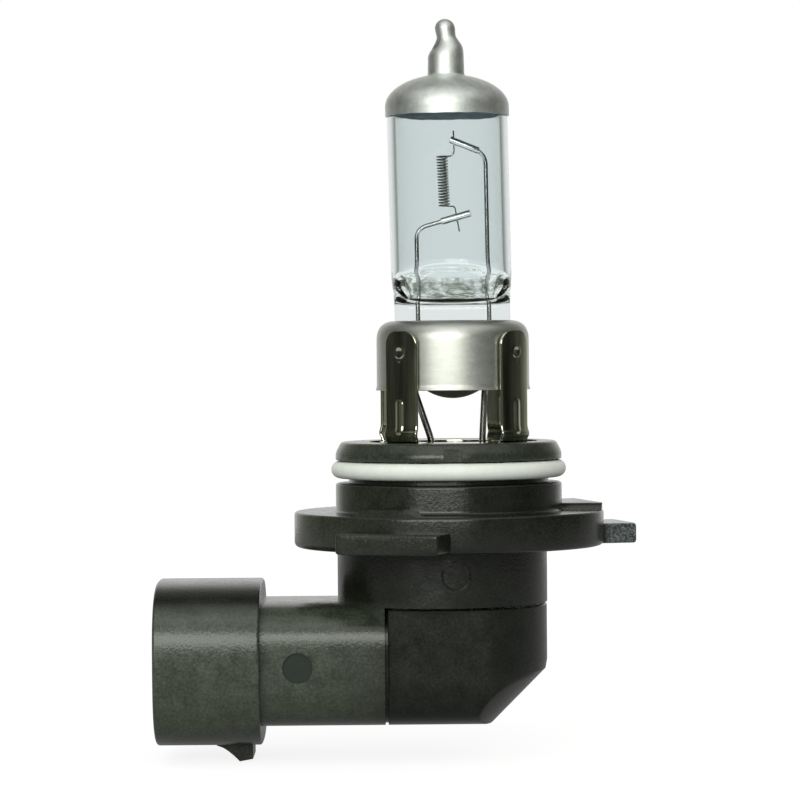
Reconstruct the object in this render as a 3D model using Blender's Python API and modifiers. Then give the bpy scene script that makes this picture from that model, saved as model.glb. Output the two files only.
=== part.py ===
"""Right-angle halogen headlight bulb, modelled as its separate pieces.

Metres, +Z up along the base axis towards the glass tip. The origin is on the base axis in the
seating plane, which is the top of the three flange pads. The plug shroud opens towards -X.
"""
import math

import bmesh
import bpy
from mathutils import Euler, Matrix, Vector

# Clearances between neighbours
FIT_GAP = 0.0001
SEAM_GAP = 0.0003
COATING_GAP = 0.00003

# Base moulding above the seating plane, all turned about the base axis
NECK_DIAMETER = 0.0221
NECK_HEIGHT = 0.00206
GROOVE_HEIGHT = 0.00225
COLLAR_DIAMETER = 0.0221
COLLAR_TOP_DIAMETER = 0.0210
COLLAR_HEIGHT = 0.00175
COLLAR_BEVEL_HEIGHT = 0.00106
COLLAR_NOTCH_WIDTH = 0.0023
COLLAR_NOTCH_DEPTH = 0.0003
COLLAR_NOTCH_X = 0.0006
SEAL_OUTER_DIAMETER = 0.02295
SEAL_SECTION = 0.00166

# Flange with its seat pads and lugs; angles in degrees from +X, pads as (angle, width, slope run),
# lugs as (angle, width)
FLANGE_DIAMETER = 0.03025
FLANGE_THICKNESS = 0.00345
PAD_HEIGHT = 0.0007
PAD_SETBACK = 0.0001
PADS = ((-116.0, 0.0026, 0.0014), (13.0, 0.0084, 0.0003), (114.0, 0.0072, 0.0003))
LUG_REACH = 0.0180
LUG_THICKNESS = 0.0019
LUG_DROP = 0.0014
LUGS = ((-110.0, 0.0102), (13.0, 0.0080), (131.0, 0.0080))

# Elbow body, stem and plug shroud
BODY_DIAMETER = 0.0205
BODY_OFFSET = -0.0007
BODY_HEIGHT = 0.00545
BORE_DIAMETER = 0.0116
WEB_THICKNESS = 0.0030
STEM_AXIS_DROP = 0.00567
STEM_END_X = -0.00635
STEM_LENGTH = 0.01195
STEM_WIDTH = 0.0178
STEM_HEIGHT = 0.0121
STEM_WALL = 0.0020
STEM_ROUNDNESS = 4.0
TERMINAL_SEAT_LENGTH = 0.0058
SHROUD_LENGTH = 0.0102
SHROUD_WIDTH = 0.0205
SHROUD_HEIGHT = 0.01595
SHROUD_WALL = 0.0015
SHROUD_FLOOR = 0.0015
SHROUD_ROUNDNESS = 3.0
LATCH_WIDTH = 0.0060
LATCH_HEIGHT = 0.00157
LATCH_RAMP_LENGTH = 0.00225
LATCH_CREST_LENGTH = 0.00128
LATCH_SETBACK = 0.00097
PIN_MARK_DIAMETER = 0.0029
PIN_MARK_DEPTH = 0.0002
BODY_MARK_X = 0.0005
BODY_MARK_DROP = 0.00235
STEM_MARK_SETBACK = 0.00835

# Rear cover
COVER_DIAMETER = 0.0204
COVER_WIDTH = 0.0176
COVER_WALL = 0.0016
COVER_CORNER_CUT = 0.00535
COVER_CUT_CROWN = 0.0165

# Terminals, leads and sealant
TERMINAL_WIDTH = 0.0028
TERMINAL_THICKNESS = 0.0008
TERMINAL_SPACING = 0.0068
TERMINAL_SETBACK = 0.0015
TERMINAL_TIP_LENGTH = 0.0008
TERMINAL_END_MARGIN = 0.0012
SEALANT_THICKNESS = 0.0030
OUTER_LEAD_DIAMETER = 0.00065
OUTER_LEAD_BEND = 0.0012
LEAD_TAIL_LENGTH = 0.0008

# Capsule mounting: how far the capsule is set to +X when it is focused, cup, cement and retainer
PREFOCUS_SHIFT = 0.0005
CUP_STANDOFF = 0.00502
CUP_DIAMETER = 0.0149
CUP_HEIGHT = 0.00676
CUP_WALL = 0.0004
CUP_SHOULDER_RADIUS = 0.0012
CUP_LIP = 0.00012
CUP_LIP_HEIGHT = 0.0004
CEMENT_TOP_DROP = 0.0013
CEMENT_EDGE_RISE = 0.0004
CEMENT_DOME_DEPTH = 0.00083
CEMENT_DOME_RADIUS = 0.0048
RETAINER_THICKNESS = 0.00035
RETAINER_BEND = 0.0008
RETAINER_BORE = 0.0096
RETAINER_TURN = 4.0
LEG_COUNT = 4
LEG_WIDTH = 0.0040
LEG_TOP_DROP = 0.00104
LEG_CORNER_RADIUS = 0.0013

# Glass envelope, from the foot upwards
PRESS_DEPTH_IN_CUP = 0.00534
PRESS_HEIGHT = 0.0071
PRESS_WIDTH = 0.0113
PRESS_THICKNESS = 0.0044
PRESS_SQUARENESS = 8.0
SHOULDER_HEIGHT = 0.0039
GLASS_DIAMETER = 0.0118
GLASS_WALL = 0.0009
TUBE_LENGTH = 0.0152
DOME_RISE = 0.0033
CHAMBER_FLOOR_HEIGHT = 0.0013
CHAMBER_ROUNDING = 0.0036
TIP_FOOT_DIAMETER = 0.00343
TIP_FOOT_HEIGHT = 0.0016
TIP_WAIST_DIAMETER = 0.00186
TIP_WAIST_HEIGHT = 0.0038
TIP_KNOB_DIAMETER = 0.00195
TIP_HEIGHT = 0.00535
TIP_FILLET = 0.0005
CAP_THICKNESS = 0.00012
CAP_SKIRT = 0.0008

# Inner leads, clamps and filament; X measured from the capsule axis
LONG_LEAD_X = 0.00365
SHORT_LEAD_X = -0.0033
INNER_LEAD_DIAMETER = 0.00042
INNER_LEAD_BEND = 0.0010
INNER_LEAD_FOOT = 0.0002
CLAMP_DIAMETER = 0.00066
CLAMP_LENGTH = 0.0030
CLAMP_OPEN_END = 0.0005
UPPER_CLAMP_X = 0.0002
UPPER_CLAMP_RISE = 0.0016
UPPER_CLAMP_TILT = 22.2
LOWER_CLAMP_X = 0.00205
LOWER_CLAMP_DROP = 0.0007
LOWER_CLAMP_TILT = 15.4
FILAMENT_X = -0.00055
FILAMENT_HEIGHT_ABOVE_PRESS = 0.01185
FILAMENT_LENGTH = 0.0049
FILAMENT_COIL_DIAMETER = 0.00108
FILAMENT_WIRE = 0.00014
FILAMENT_TURN_GAP = 0.00042
FILAMENT_LEG_BEND = 0.0003
TOP_LEG_X = 0.00058
BOTTOM_LEG_X = 0.00088
TOP_TAIL_LENGTH = 0.0009
BOTTOM_TAIL_LENGTH = 0.0011

# Where each outer lead leaves the cement and where it enters the base, from the capsule axis
LEFT_LEAD_EXIT_X = -0.0036
LEFT_LEAD_BASE_X = -0.0020
RIGHT_LEAD_EXIT_X = 0.0031
RIGHT_LEAD_BASE_X = 0.0029

# Facets
BASE_SIDES = 64
CAPSULE_SIDES = 32
SMALL_SIDES = 12
ARC_STEPS = 5
POINTS_PER_TURN = 9

# Levels that follow from the sizes above
FLANGE_TOP_Z = -PAD_HEIGHT
FLANGE_BOTTOM_Z = FLANGE_TOP_Z - FLANGE_THICKNESS
COLLAR_BOTTOM_Z = NECK_HEIGHT + GROOVE_HEIGHT
COLLAR_TOP_Z = COLLAR_BOTTOM_Z + COLLAR_HEIGHT
POCKET_FLOOR_Z = COLLAR_TOP_Z - RETAINER_THICKNESS - FIT_GAP
WEB_BOTTOM_Z = POCKET_FLOOR_Z - WEB_THICKNESS
BODY_BOTTOM_Z = FLANGE_BOTTOM_Z - BODY_HEIGHT
STEM_AXIS_Z = BODY_BOTTOM_Z - STEM_AXIS_DROP
STEM_BOTTOM_Z = STEM_AXIS_Z - STEM_HEIGHT / 2
SHROUD_BACK_X = STEM_END_X - STEM_LENGTH
SHROUD_MOUTH_X = SHROUD_BACK_X - SHROUD_LENGTH
SHROUD_FLOOR_X = SHROUD_BACK_X - SHROUD_FLOOR
SHROUD_BOTTOM_Z = STEM_AXIS_Z - SHROUD_HEIGHT / 2
STEM_POCKET_X = SHROUD_FLOOR_X + TERMINAL_SEAT_LENGTH
CUP_BOTTOM_Z = COLLAR_TOP_Z + CUP_STANDOFF
CUP_TOP_Z = CUP_BOTTOM_Z + CUP_HEIGHT
PRESS_BOTTOM_Z = CUP_TOP_Z - PRESS_DEPTH_IN_CUP
PRESS_TOP_Z = PRESS_BOTTOM_Z + PRESS_HEIGHT
SHOULDER_TOP_Z = PRESS_TOP_Z + SHOULDER_HEIGHT
DOME_BASE_Z = SHOULDER_TOP_Z + TUBE_LENGTH
DOME_TOP_Z = DOME_BASE_Z + DOME_RISE
CHAMBER_FLOOR_Z = PRESS_TOP_Z + CHAMBER_FLOOR_HEIGHT
FILAMENT_BOTTOM_Z = PRESS_TOP_Z + FILAMENT_HEIGHT_ABOVE_PRESS - FILAMENT_LENGTH / 2
FILAMENT_TOP_Z = FILAMENT_BOTTOM_Z + FILAMENT_LENGTH
GLASS_RADIUS = GLASS_DIAMETER / 2
INNER_LEAD_FOOT_Z = PRESS_BOTTOM_Z - INNER_LEAD_FOOT


def start_clean():
    """Removes every object and returns the part collection and the cutter collection."""
    for old in list(bpy.data.objects):
        bpy.data.objects.remove(old)
    part = bpy.data.collections.new("headlight_bulb")
    tools = bpy.data.collections.new("headlight_bulb_cutters")
    bpy.context.scene.collection.children.link(part)
    bpy.context.scene.collection.children.link(tools)
    return part, tools


PART, TOOLS = start_clean()


def axis_empty(name, x):
    """An empty on a vertical axis, to carry the pieces that stand on it."""
    empty = bpy.data.objects.new(name, None)
    empty.location = (x, 0.0, 0.0)
    PART.objects.link(empty)
    return empty


BASE_AXIS = axis_empty("base_axis", 0.0)
CAPSULE_AXIS = axis_empty("capsule_axis", PREFOCUS_SHIFT)


def finish(obj, parent, color, roughness, metallic=0.0, transmission=0.0):
    """Gives a finished piece its parent, its own material and smooth shading."""
    obj.parent = parent
    material = bpy.data.materials.new(obj.name)
    material.use_nodes = True
    shader = material.node_tree.nodes["Principled BSDF"]
    shader.inputs["Base Color"].default_value = (*color, 1.0)
    shader.inputs["Roughness"].default_value = roughness
    shader.inputs["Metallic"].default_value = metallic
    shader.inputs["Transmission Weight"].default_value = transmission
    obj.data.materials.clear()
    obj.data.materials.append(material)
    if obj.type == "MESH":
        obj.data.shade_smooth()
    return obj


def as_tool(obj, parent=None):
    """Marks an object as a cutter or a joining form, which is no piece of the bulb."""
    for owner in list(obj.users_collection):
        owner.objects.unlink(obj)
    TOOLS.objects.link(obj)
    obj.parent = parent
    obj.hide_render = True
    obj.display_type = "WIRE"
    return obj


def combine(obj, tool, operation, parent=None):
    """Adds a Boolean with a tool object, which moves to the cutter collection."""
    as_tool(tool, parent)
    modifier = obj.modifiers.new(tool.name, "BOOLEAN")
    modifier.operation = operation
    modifier.solver = "EXACT"
    modifier.object = tool
    return obj


def mesh_object(name, bm):
    """A new object in the part collection from a bmesh."""
    mesh = bpy.data.meshes.new(name)
    bm.to_mesh(mesh)
    bm.free()
    obj = bpy.data.objects.new(name, mesh)
    PART.objects.link(obj)
    return obj


def turned(name, profile, sides, closed=False):
    """A turned shape: (radius, height) points down the outer side, revolved about Z."""
    bm = bmesh.new()
    verts = [bm.verts.new((radius, 0.0, height)) for radius, height in profile]
    for first, second in zip(verts, verts[1:]):
        bm.edges.new((first, second))
    if closed:
        bm.edges.new((verts[-1], verts[0]))
    obj = mesh_object(name, bm)
    screw = obj.modifiers.new("revolve", "SCREW")
    screw.axis = "Z"
    screw.angle = math.tau
    screw.steps = sides
    screw.render_steps = sides
    screw.use_merge_vertices = True
    screw.merge_threshold = 0.000001
    return obj


def rod(name, diameter, start, end, sides):
    """A solid cylinder between two points."""
    start, end = Vector(start), Vector(end)
    bm = bmesh.new()
    bmesh.ops.create_cone(bm, cap_ends=True, segments=sides, radius1=diameter / 2,
                          radius2=diameter / 2, depth=(end - start).length)
    turn = (end - start).to_track_quat("Z", "Y").to_matrix().to_4x4()
    bmesh.ops.transform(bm, matrix=Matrix.Translation((start + end) / 2) @ turn, verts=bm.verts)
    return mesh_object(name, bm)


def block(name, low, high):
    """A box between two opposite corners."""
    low, high = Vector(low), Vector(high)
    bm = bmesh.new()
    bmesh.ops.create_cube(bm, size=1.0)
    size = high - low
    place = Matrix.Translation((low + high) / 2) @ Matrix.Diagonal((*size, 1.0))
    bmesh.ops.transform(bm, matrix=place, verts=bm.verts)
    return mesh_object(name, bm)


def as_mesh(curve_object):
    """Replaces a curve object by a mesh object with welded caps, in the same place."""
    bpy.context.view_layer.update()
    depsgraph = bpy.context.evaluated_depsgraph_get()
    mesh = bpy.data.meshes.new_from_object(curve_object.evaluated_get(depsgraph))
    place = curve_object.matrix_world.copy()
    name = curve_object.name
    bpy.data.objects.remove(curve_object)
    bm = bmesh.new()
    bm.from_mesh(mesh)
    bmesh.ops.remove_doubles(bm, verts=bm.verts, dist=0.0000001)
    bm.to_mesh(mesh)
    bm.free()
    obj = bpy.data.objects.new(name, mesh)
    obj.matrix_world = place
    PART.objects.link(obj)
    return obj


def plate(name, outlines, thickness, place):
    """A flat outline, with any holes, given a thickness along its own Z."""
    curve = bpy.data.curves.new(name, "CURVE")
    curve.dimensions = "2D"
    curve.fill_mode = "BOTH"
    curve.extrude = thickness / 2
    for outline in outlines:
        spline = curve.splines.new("POLY")
        spline.points.add(len(outline) - 1)
        for point, (x, y) in zip(spline.points, outline):
            point.co = (x, y, 0.0, 1.0)
        spline.use_cyclic_u = True
    obj = bpy.data.objects.new(name, curve)
    obj.matrix_world = place
    PART.objects.link(obj)
    return as_mesh(obj)


def wire(name, points, diameter, resolution):
    """A round wire along a list of points."""
    curve = bpy.data.curves.new(name, "CURVE")
    curve.dimensions = "3D"
    curve.bevel_depth = diameter / 2
    curve.bevel_resolution = resolution
    curve.use_fill_caps = True
    spline = curve.splines.new("POLY")
    spline.points.add(len(points) - 1)
    for point, place in zip(spline.points, points):
        point.co = (*place, 1.0)
    obj = bpy.data.objects.new(name, curve)
    PART.objects.link(obj)
    return obj


def arc(centre, radius, start, end, steps=ARC_STEPS):
    """Points on an arc in a plane, angles in degrees."""
    angles = [math.radians(start + (end - start) * k / steps) for k in range(steps + 1)]
    return [(centre[0] + radius * math.cos(a), centre[1] + radius * math.sin(a)) for a in angles]


def superellipse(half_width, half_height, exponent, count):
    """Points on |x/a|^n + |y/b|^n = 1, counter-clockwise from +X."""
    points = []
    for k in range(count):
        c, s = math.cos(math.tau * k / count), math.sin(math.tau * k / count)
        x = half_width * math.copysign(abs(c) ** (2 / exponent), c)
        y = half_height * math.copysign(abs(s) ** (2 / exponent), s)
        points.append((x, y))
    return points


def bent_path(corners, bend):
    """Points through the corners of a bent wire, each inner corner rounded off."""
    corners = [Vector(corner) for corner in corners]
    path = [corners[0]]
    for before, corner, after in zip(corners, corners[1:], corners[2:]):
        back, ahead = before - corner, after - corner
        reach = min(bend, 0.45 * back.length, 0.45 * ahead.length)
        start = corner + back.normalized() * reach
        end = corner + ahead.normalized() * reach
        for k in range(ARC_STEPS + 1):
            t = k / ARC_STEPS
            path.append(start * (1 - t) ** 2 + corner * 2 * t * (1 - t) + end * t ** 2)
    path.append(corners[-1])
    return path


ALONG_X = Euler((math.pi / 2, 0.0, math.pi / 2)).to_matrix().to_4x4()
ALONG_Y = Euler((math.pi / 2, 0.0, 0.0)).to_matrix().to_4x4()


def bar_along_x(name, outline, start_x, end_x, axis_z):
    """A straight bar along X whose section is an outline in Y and Z about a level axis."""
    place = Matrix.Translation(((start_x + end_x) / 2, 0.0, axis_z)) @ ALONG_X
    return plate(name, [outline], abs(end_x - start_x), place)


# Glass envelope

def tip_and_dome_profile():
    """(radius, height) down the drawn-off tip and the dome, from the tip's pole to the dome's foot."""
    knob_radius = TIP_KNOB_DIAMETER / 2
    waist_radius = TIP_WAIST_DIAMETER / 2
    foot_radius = TIP_FOOT_DIAMETER / 2
    knob_z = DOME_TOP_Z + TIP_HEIGHT - knob_radius
    waist_z = DOME_TOP_Z + TIP_WAIST_HEIGHT
    foot_z = DOME_TOP_Z + TIP_FOOT_HEIGHT
    profile = [(0.0, DOME_TOP_Z + TIP_HEIGHT)]
    for k in range(1, 5):
        angle = math.pi / 2 * k / 4
        profile.append((knob_radius * math.sin(angle), knob_z + knob_radius * math.cos(angle)))
    for k in range(5):
        blend = (1 - math.cos(math.pi * k / 4)) / 2
        profile.append((waist_radius + (foot_radius - waist_radius) * blend,
                        waist_z + (foot_z - waist_z) * k / 4))
    start = math.asin((foot_radius + TIP_FILLET) / GLASS_RADIUS)
    meet_z = DOME_BASE_Z + DOME_RISE * math.cos(start)
    profile.append((foot_radius, meet_z + TIP_FILLET))
    profile.append((foot_radius + TIP_FILLET * 0.3, meet_z + TIP_FILLET * 0.3))
    for k in range(7):
        angle = start + (math.pi / 2 - start) * k / 6
        profile.append((GLASS_RADIUS * math.sin(angle), DOME_BASE_Z + DOME_RISE * math.cos(angle)))
    return profile


def offset_profile(profile, distance):
    """The same profile moved out along its normals; its first point stays on the axis."""
    moved = [(0.0, profile[0][1] + distance)]
    for before, here, after in zip(profile, profile[1:], profile[2:] + profile[-1:]):
        run = Vector((after[0] - before[0], after[1] - before[1])).normalized()
        moved.append((here[0] - run.y * distance, here[1] + run.x * distance))
    moved[-1] = (profile[-1][0] + distance, profile[-1][1])
    return moved


def loft(name, rings):
    """A closed skin over rings of points from top to bottom; a ring of one point is a pole."""
    bm = bmesh.new()
    rows = [[bm.verts.new(point) for point in ring] for ring in rings]
    count = max(len(row) for row in rows)
    for upper, lower in zip(rows, rows[1:]):
        for k in range(count):
            n = (k + 1) % count
            if len(upper) == 1:
                bm.faces.new((upper[0], lower[k], lower[n]))
            elif len(lower) == 1:
                bm.faces.new((upper[k], lower[0], upper[n]))
            else:
                bm.faces.new((upper[k], lower[k], lower[n], upper[n]))
    if len(rows[-1]) > 1:
        bm.faces.new(list(reversed(rows[-1])))
    return mesh_object(name, bm)


def glass_section(height):
    """Half widths along X and Y and the exponent of the envelope's outside below the tube."""
    fall = min(max((SHOULDER_TOP_Z - height) / SHOULDER_HEIGHT, 0.0), 1.0)
    ease = fall * fall * (3 - 2 * fall)
    half_x = GLASS_RADIUS + (PRESS_WIDTH / 2 - GLASS_RADIUS) * ease
    half_y = GLASS_RADIUS + (PRESS_THICKNESS / 2 - GLASS_RADIUS) * ease
    return half_x, half_y, 2.0 + (PRESS_SQUARENESS - 2.0) * fall ** 2


def ring_at(height, half_x, half_y, exponent):
    return [(x, y, height) for x, y in superellipse(half_x, half_y, exponent, CAPSULE_SIDES)]


def make_glass_envelope():
    """Quartz tube drawn off to a tip at the top and pressed flat over the leads at the foot."""
    rings = [[(0.0, 0.0, DOME_TOP_Z + TIP_HEIGHT)]]
    for radius, height in tip_and_dome_profile()[1:]:
        rings.append(ring_at(height, radius, radius, 2.0))
    for k in range(7):
        height = SHOULDER_TOP_Z - SHOULDER_HEIGHT * k / 6
        rings.append(ring_at(height, *glass_section(height)))
    rings.append(ring_at(PRESS_BOTTOM_Z, *glass_section(PRESS_BOTTOM_Z)))
    glass = loft("glass_envelope", rings)

    inner_radius = GLASS_RADIUS - GLASS_WALL
    inner_rise = DOME_RISE - GLASS_WALL
    inside = [[(0.0, 0.0, DOME_BASE_Z + inner_rise)]]
    for k in range(1, 6):
        angle = math.pi / 2 * k / 5
        radius = inner_radius * math.sin(angle)
        inside.append(ring_at(DOME_BASE_Z + inner_rise * math.cos(angle), radius, radius, 2.0))
    for k in range(6):
        fall = math.sin(math.pi / 2 * k / 6)
        height = CHAMBER_FLOOR_Z + CHAMBER_ROUNDING * (1 - fall)
        half_x, half_y, exponent = glass_section(height)
        draw_in = math.sqrt(1 - fall ** 3)
        inside.append(ring_at(height, (half_x - GLASS_WALL) * draw_in,
                              (half_y - GLASS_WALL) * draw_in, 2.0))
    inside.append([(0.0, 0.0, CHAMBER_FLOOR_Z)])
    combine(glass, loft("glass_chamber", inside), "DIFFERENCE", CAPSULE_AXIS)
    for name, x in (("long_lead_passage", LONG_LEAD_X), ("short_lead_passage", SHORT_LEAD_X)):
        foot = (x, 0.0, PRESS_BOTTOM_Z - CUP_WALL)
        head = (x, 0.0, CHAMBER_FLOOR_Z + CHAMBER_ROUNDING)
        passage = rod(name, INNER_LEAD_DIAMETER + 2 * FIT_GAP, foot, head, SMALL_SIDES)
        combine(glass, passage, "DIFFERENCE", CAPSULE_AXIS)
    finish(glass, CAPSULE_AXIS, (0.86, 0.90, 0.92), 0.03, transmission=1.0)


def make_anti_glare_cap():
    """Silver coating over the dome and the tip, with a short skirt on the tube."""
    profile = tip_and_dome_profile()
    edge_z = DOME_BASE_Z - CAP_SKIRT
    outside = offset_profile(profile, COATING_GAP + CAP_THICKNESS)
    inside = offset_profile(profile, COATING_GAP)
    outside.append((outside[-1][0], edge_z))
    inside.append((inside[-1][0], edge_z))
    cap = turned("anti_glare_cap", outside + inside[::-1], CAPSULE_SIDES)
    finish(cap, CAPSULE_AXIS, (0.62, 0.63, 0.63), 0.32, metallic=1.0)


# Filament and inner leads

def clamp_line(near_x, near_z, tilt, towards):
    """The clamp's open end and its direction towards the lead, tilted down by an angle in degrees."""
    lean = math.radians(tilt)
    return Vector((near_x, 0.0, near_z)), Vector((towards * math.cos(lean), 0.0, -math.sin(lean)))


UPPER_CLAMP = clamp_line(UPPER_CLAMP_X, FILAMENT_TOP_Z + UPPER_CLAMP_RISE, UPPER_CLAMP_TILT, 1.0)
LOWER_CLAMP = clamp_line(LOWER_CLAMP_X, FILAMENT_BOTTOM_Z - LOWER_CLAMP_DROP, LOWER_CLAMP_TILT, -1.0)


def make_inner_lead(name, lead_x, clamp):
    """Molybdenum lead: up through the press, then bent over into its clamp."""
    open_end, direction = clamp
    corner = open_end + direction * abs((lead_x - open_end.x) / direction.x)
    end = open_end + direction * CLAMP_OPEN_END
    corners = [(lead_x, 0.0, INNER_LEAD_FOOT_Z), corner, end]
    lead = wire(name, bent_path(corners, INNER_LEAD_BEND), INNER_LEAD_DIAMETER, 2)
    finish(lead, CAPSULE_AXIS, (0.33, 0.33, 0.34), 0.28, metallic=1.0)


def make_leg_clamp(name, clamp):
    """Sleeve crimped over the end of an inner lead, which grips a filament leg."""
    open_end, direction = clamp
    bore = INNER_LEAD_DIAMETER / 2 + COATING_GAP
    half = CLAMP_LENGTH / 2
    profile = [(CLAMP_DIAMETER / 2, half), (CLAMP_DIAMETER / 2, -half), (bore, -half), (bore, half)]
    sleeve = turned(name, profile, SMALL_SIDES, closed=True)
    sleeve.location = open_end + direction * half
    sleeve.rotation_euler = direction.to_track_quat("Z", "Y").to_euler()
    finish(sleeve, CAPSULE_AXIS, (0.72, 0.72, 0.71), 0.22, metallic=1.0)


def least_self_gap(points, diameter, skip):
    """Least clear distance between stretches of a wire that are over `skip` points apart."""
    nearest = min((first - second).length for k, first in enumerate(points)
                  for second in points[k + skip:])
    return nearest - diameter


def make_filament():
    """One tungsten wire: lower tail and leg, the coil, upper leg and tail."""
    coil_radius = (FILAMENT_COIL_DIAMETER - FILAMENT_WIRE) / 2
    leg_y = CLAMP_DIAMETER / 2 + FILAMENT_WIRE / 2 + FIT_GAP / 2
    whole_turns = math.floor(FILAMENT_LENGTH / (FILAMENT_WIRE + FILAMENT_TURN_GAP) - 0.5)
    turns = whole_turns + 0.5
    steps = round(turns * POINTS_PER_TURN)
    coil = []
    for k in range(steps + 1):
        angle = -math.pi / 2 - math.tau * turns * k / steps
        coil.append(Vector((FILAMENT_X + coil_radius * math.cos(angle),
                            coil_radius * math.sin(angle),
                            FILAMENT_BOTTOM_Z + FILAMENT_LENGTH * k / steps)))
    low_tail_z = LOWER_CLAMP[0].z - CLAMP_DIAMETER - BOTTOM_TAIL_LENGTH
    high_tail_z = UPPER_CLAMP[0].z + TOP_TAIL_LENGTH
    low_leg = [(BOTTOM_LEG_X, -leg_y, low_tail_z), (BOTTOM_LEG_X, -leg_y, FILAMENT_BOTTOM_Z), coil[0]]
    high_leg = [coil[-1], (TOP_LEG_X, leg_y, FILAMENT_TOP_Z), (TOP_LEG_X, leg_y, high_tail_z)]
    path = bent_path(low_leg, FILAMENT_LEG_BEND)[:-1] + coil
    path += bent_path(high_leg, FILAMENT_LEG_BEND)[1:]
    gap = least_self_gap(coil, FILAMENT_WIRE, POINTS_PER_TURN // 2)
    print(f"filament: {turns} turns, least gap between turns {gap * 1000:.3f} mm")
    filament = wire("filament", path, FILAMENT_WIRE, 1)
    finish(filament, CAPSULE_AXIS, (0.22, 0.22, 0.23), 0.4, metallic=1.0)


# Capsule mounting

def make_capsule_cup():
    """Deep-drawn steel cup, closed at the top but for the slot that takes the glass foot."""
    radius = CUP_DIAMETER / 2
    inner = radius - CUP_WALL
    shoulder_z = CUP_TOP_Z - CUP_SHOULDER_RADIUS
    turn = (radius - CUP_SHOULDER_RADIUS, shoulder_z)
    profile = [(0.0, CUP_TOP_Z)] + arc(turn, CUP_SHOULDER_RADIUS, 90, 0)
    profile += [(radius, CUP_BOTTOM_Z + CUP_LIP_HEIGHT), (radius + CUP_LIP, CUP_BOTTOM_Z),
                (inner + CUP_LIP, CUP_BOTTOM_Z), (inner, CUP_BOTTOM_Z + CUP_LIP_HEIGHT)]
    profile += arc(turn, CUP_SHOULDER_RADIUS - CUP_WALL, 0, 90) + [(0.0, CUP_TOP_Z - CUP_WALL)]
    cup = turned("capsule_cup", profile, CAPSULE_SIDES)
    combine(cup, press_slot("cup_press_slot"), "DIFFERENCE", CAPSULE_AXIS)
    finish(cup, CAPSULE_AXIS, (0.70, 0.70, 0.68), 0.35, metallic=1.0)


def press_slot(name):
    """The glass foot with a fitting gap all round, as a cutter."""
    half_x = PRESS_WIDTH / 2 + FIT_GAP
    half_y = PRESS_THICKNESS / 2 + FIT_GAP
    return block(name, (-half_x, -half_y, PRESS_BOTTOM_Z - FIT_GAP), (half_x, half_y, PRESS_TOP_Z))


def make_cement_plug():
    """Cement cast round the glass foot inside the cup, with a dome that bulges out below."""
    radius = CUP_DIAMETER / 2 - CUP_WALL - FIT_GAP
    edge_z = CUP_BOTTOM_Z + CEMENT_EDGE_RISE
    dome_z = CUP_BOTTOM_Z - CEMENT_DOME_DEPTH
    centre_z = dome_z + CEMENT_DOME_RADIUS
    spread = math.degrees(math.acos((centre_z - edge_z) / CEMENT_DOME_RADIUS))
    profile = [(0.0, CUP_TOP_Z - CEMENT_TOP_DROP), (radius, CUP_TOP_Z - CEMENT_TOP_DROP),
               (radius, edge_z)]
    profile += arc((0.0, centre_z), CEMENT_DOME_RADIUS, spread - 90, -90)[:-1] + [(0.0, dome_z)]
    plug = turned("cement_plug", profile, CAPSULE_SIDES)
    combine(plug, press_slot("cement_press_slot"), "DIFFERENCE", CAPSULE_AXIS)
    for name, route in OUTER_LEAD_ROUTES.items():
        upper = [route[0] + Vector((0.0, 0.0, CUP_WALL))] + route[1:3]
        passage = wire(name + "_passage", bent_path(upper, OUTER_LEAD_BEND),
                       OUTER_LEAD_DIAMETER + 2 * FIT_GAP, 2)
        combine(plug, as_mesh(passage), "DIFFERENCE")
    finish(plug, CAPSULE_AXIS, (0.34, 0.34, 0.32), 0.7)


def make_capsule_retainer():
    """Steel stamping: a ring on the collar with four legs bent up round the cup."""
    inner = CUP_DIAMETER / 2 + CUP_LIP + FIT_GAP
    outer = inner + RETAINER_THICKNESS
    low = COLLAR_TOP_Z - RETAINER_THICKNESS
    top = CUP_TOP_Z - LEG_TOP_DROP
    bend_centre = (outer - RETAINER_BEND, low + RETAINER_BEND)
    profile = [(outer, top)] + arc(bend_centre, RETAINER_BEND, 0, -90)
    profile += [(RETAINER_BORE / 2, low), (RETAINER_BORE / 2, low + RETAINER_THICKNESS)]
    profile += arc(bend_centre, RETAINER_BEND - RETAINER_THICKNESS, -90, 0) + [(inner, top)]
    retainer = turned("capsule_retainer", profile, CAPSULE_SIDES, closed=True)

    mask = rod("retainer_mask", 2 * bend_centre[0], (0.0, 0.0, low - FIT_GAP),
               (0.0, 0.0, low + RETAINER_THICKNESS + FIT_GAP), CAPSULE_SIDES)
    half = LEG_WIDTH / 2
    corner = min(LEG_CORNER_RADIUS, half)
    foot = low - FIT_GAP
    outline = [(half, foot)] + arc((half - corner, top - corner), corner, 0, 90)
    outline += arc((corner - half, top - corner), corner, 90, 180) + [(-half, foot)]
    reach = outer * 1.2 - RETAINER_BORE / 2
    for k in range(LEG_COUNT):
        angle = math.radians(RETAINER_TURN + 360.0 / LEG_COUNT * (k + 0.5))
        stand = Matrix.Rotation(angle, 4, "Z") @ ALONG_X
        middle = Matrix.Rotation(angle, 4, "Z") @ Vector((RETAINER_BORE / 2 + reach / 2, 0.0, 0.0))
        leg = plate(f"retainer_leg_form_{k + 1}", [outline], reach, Matrix.Translation(middle) @ stand)
        combine(mask, leg, "UNION")
    combine(retainer, mask, "INTERSECT", CAPSULE_AXIS)
    for k in range(LEG_COUNT):
        bpy.data.objects[f"retainer_leg_form_{k + 1}"].parent = CAPSULE_AXIS
    finish(retainer, CAPSULE_AXIS, (0.60, 0.60, 0.58), 0.12, metallic=1.0)


# Leads and terminals

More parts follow.
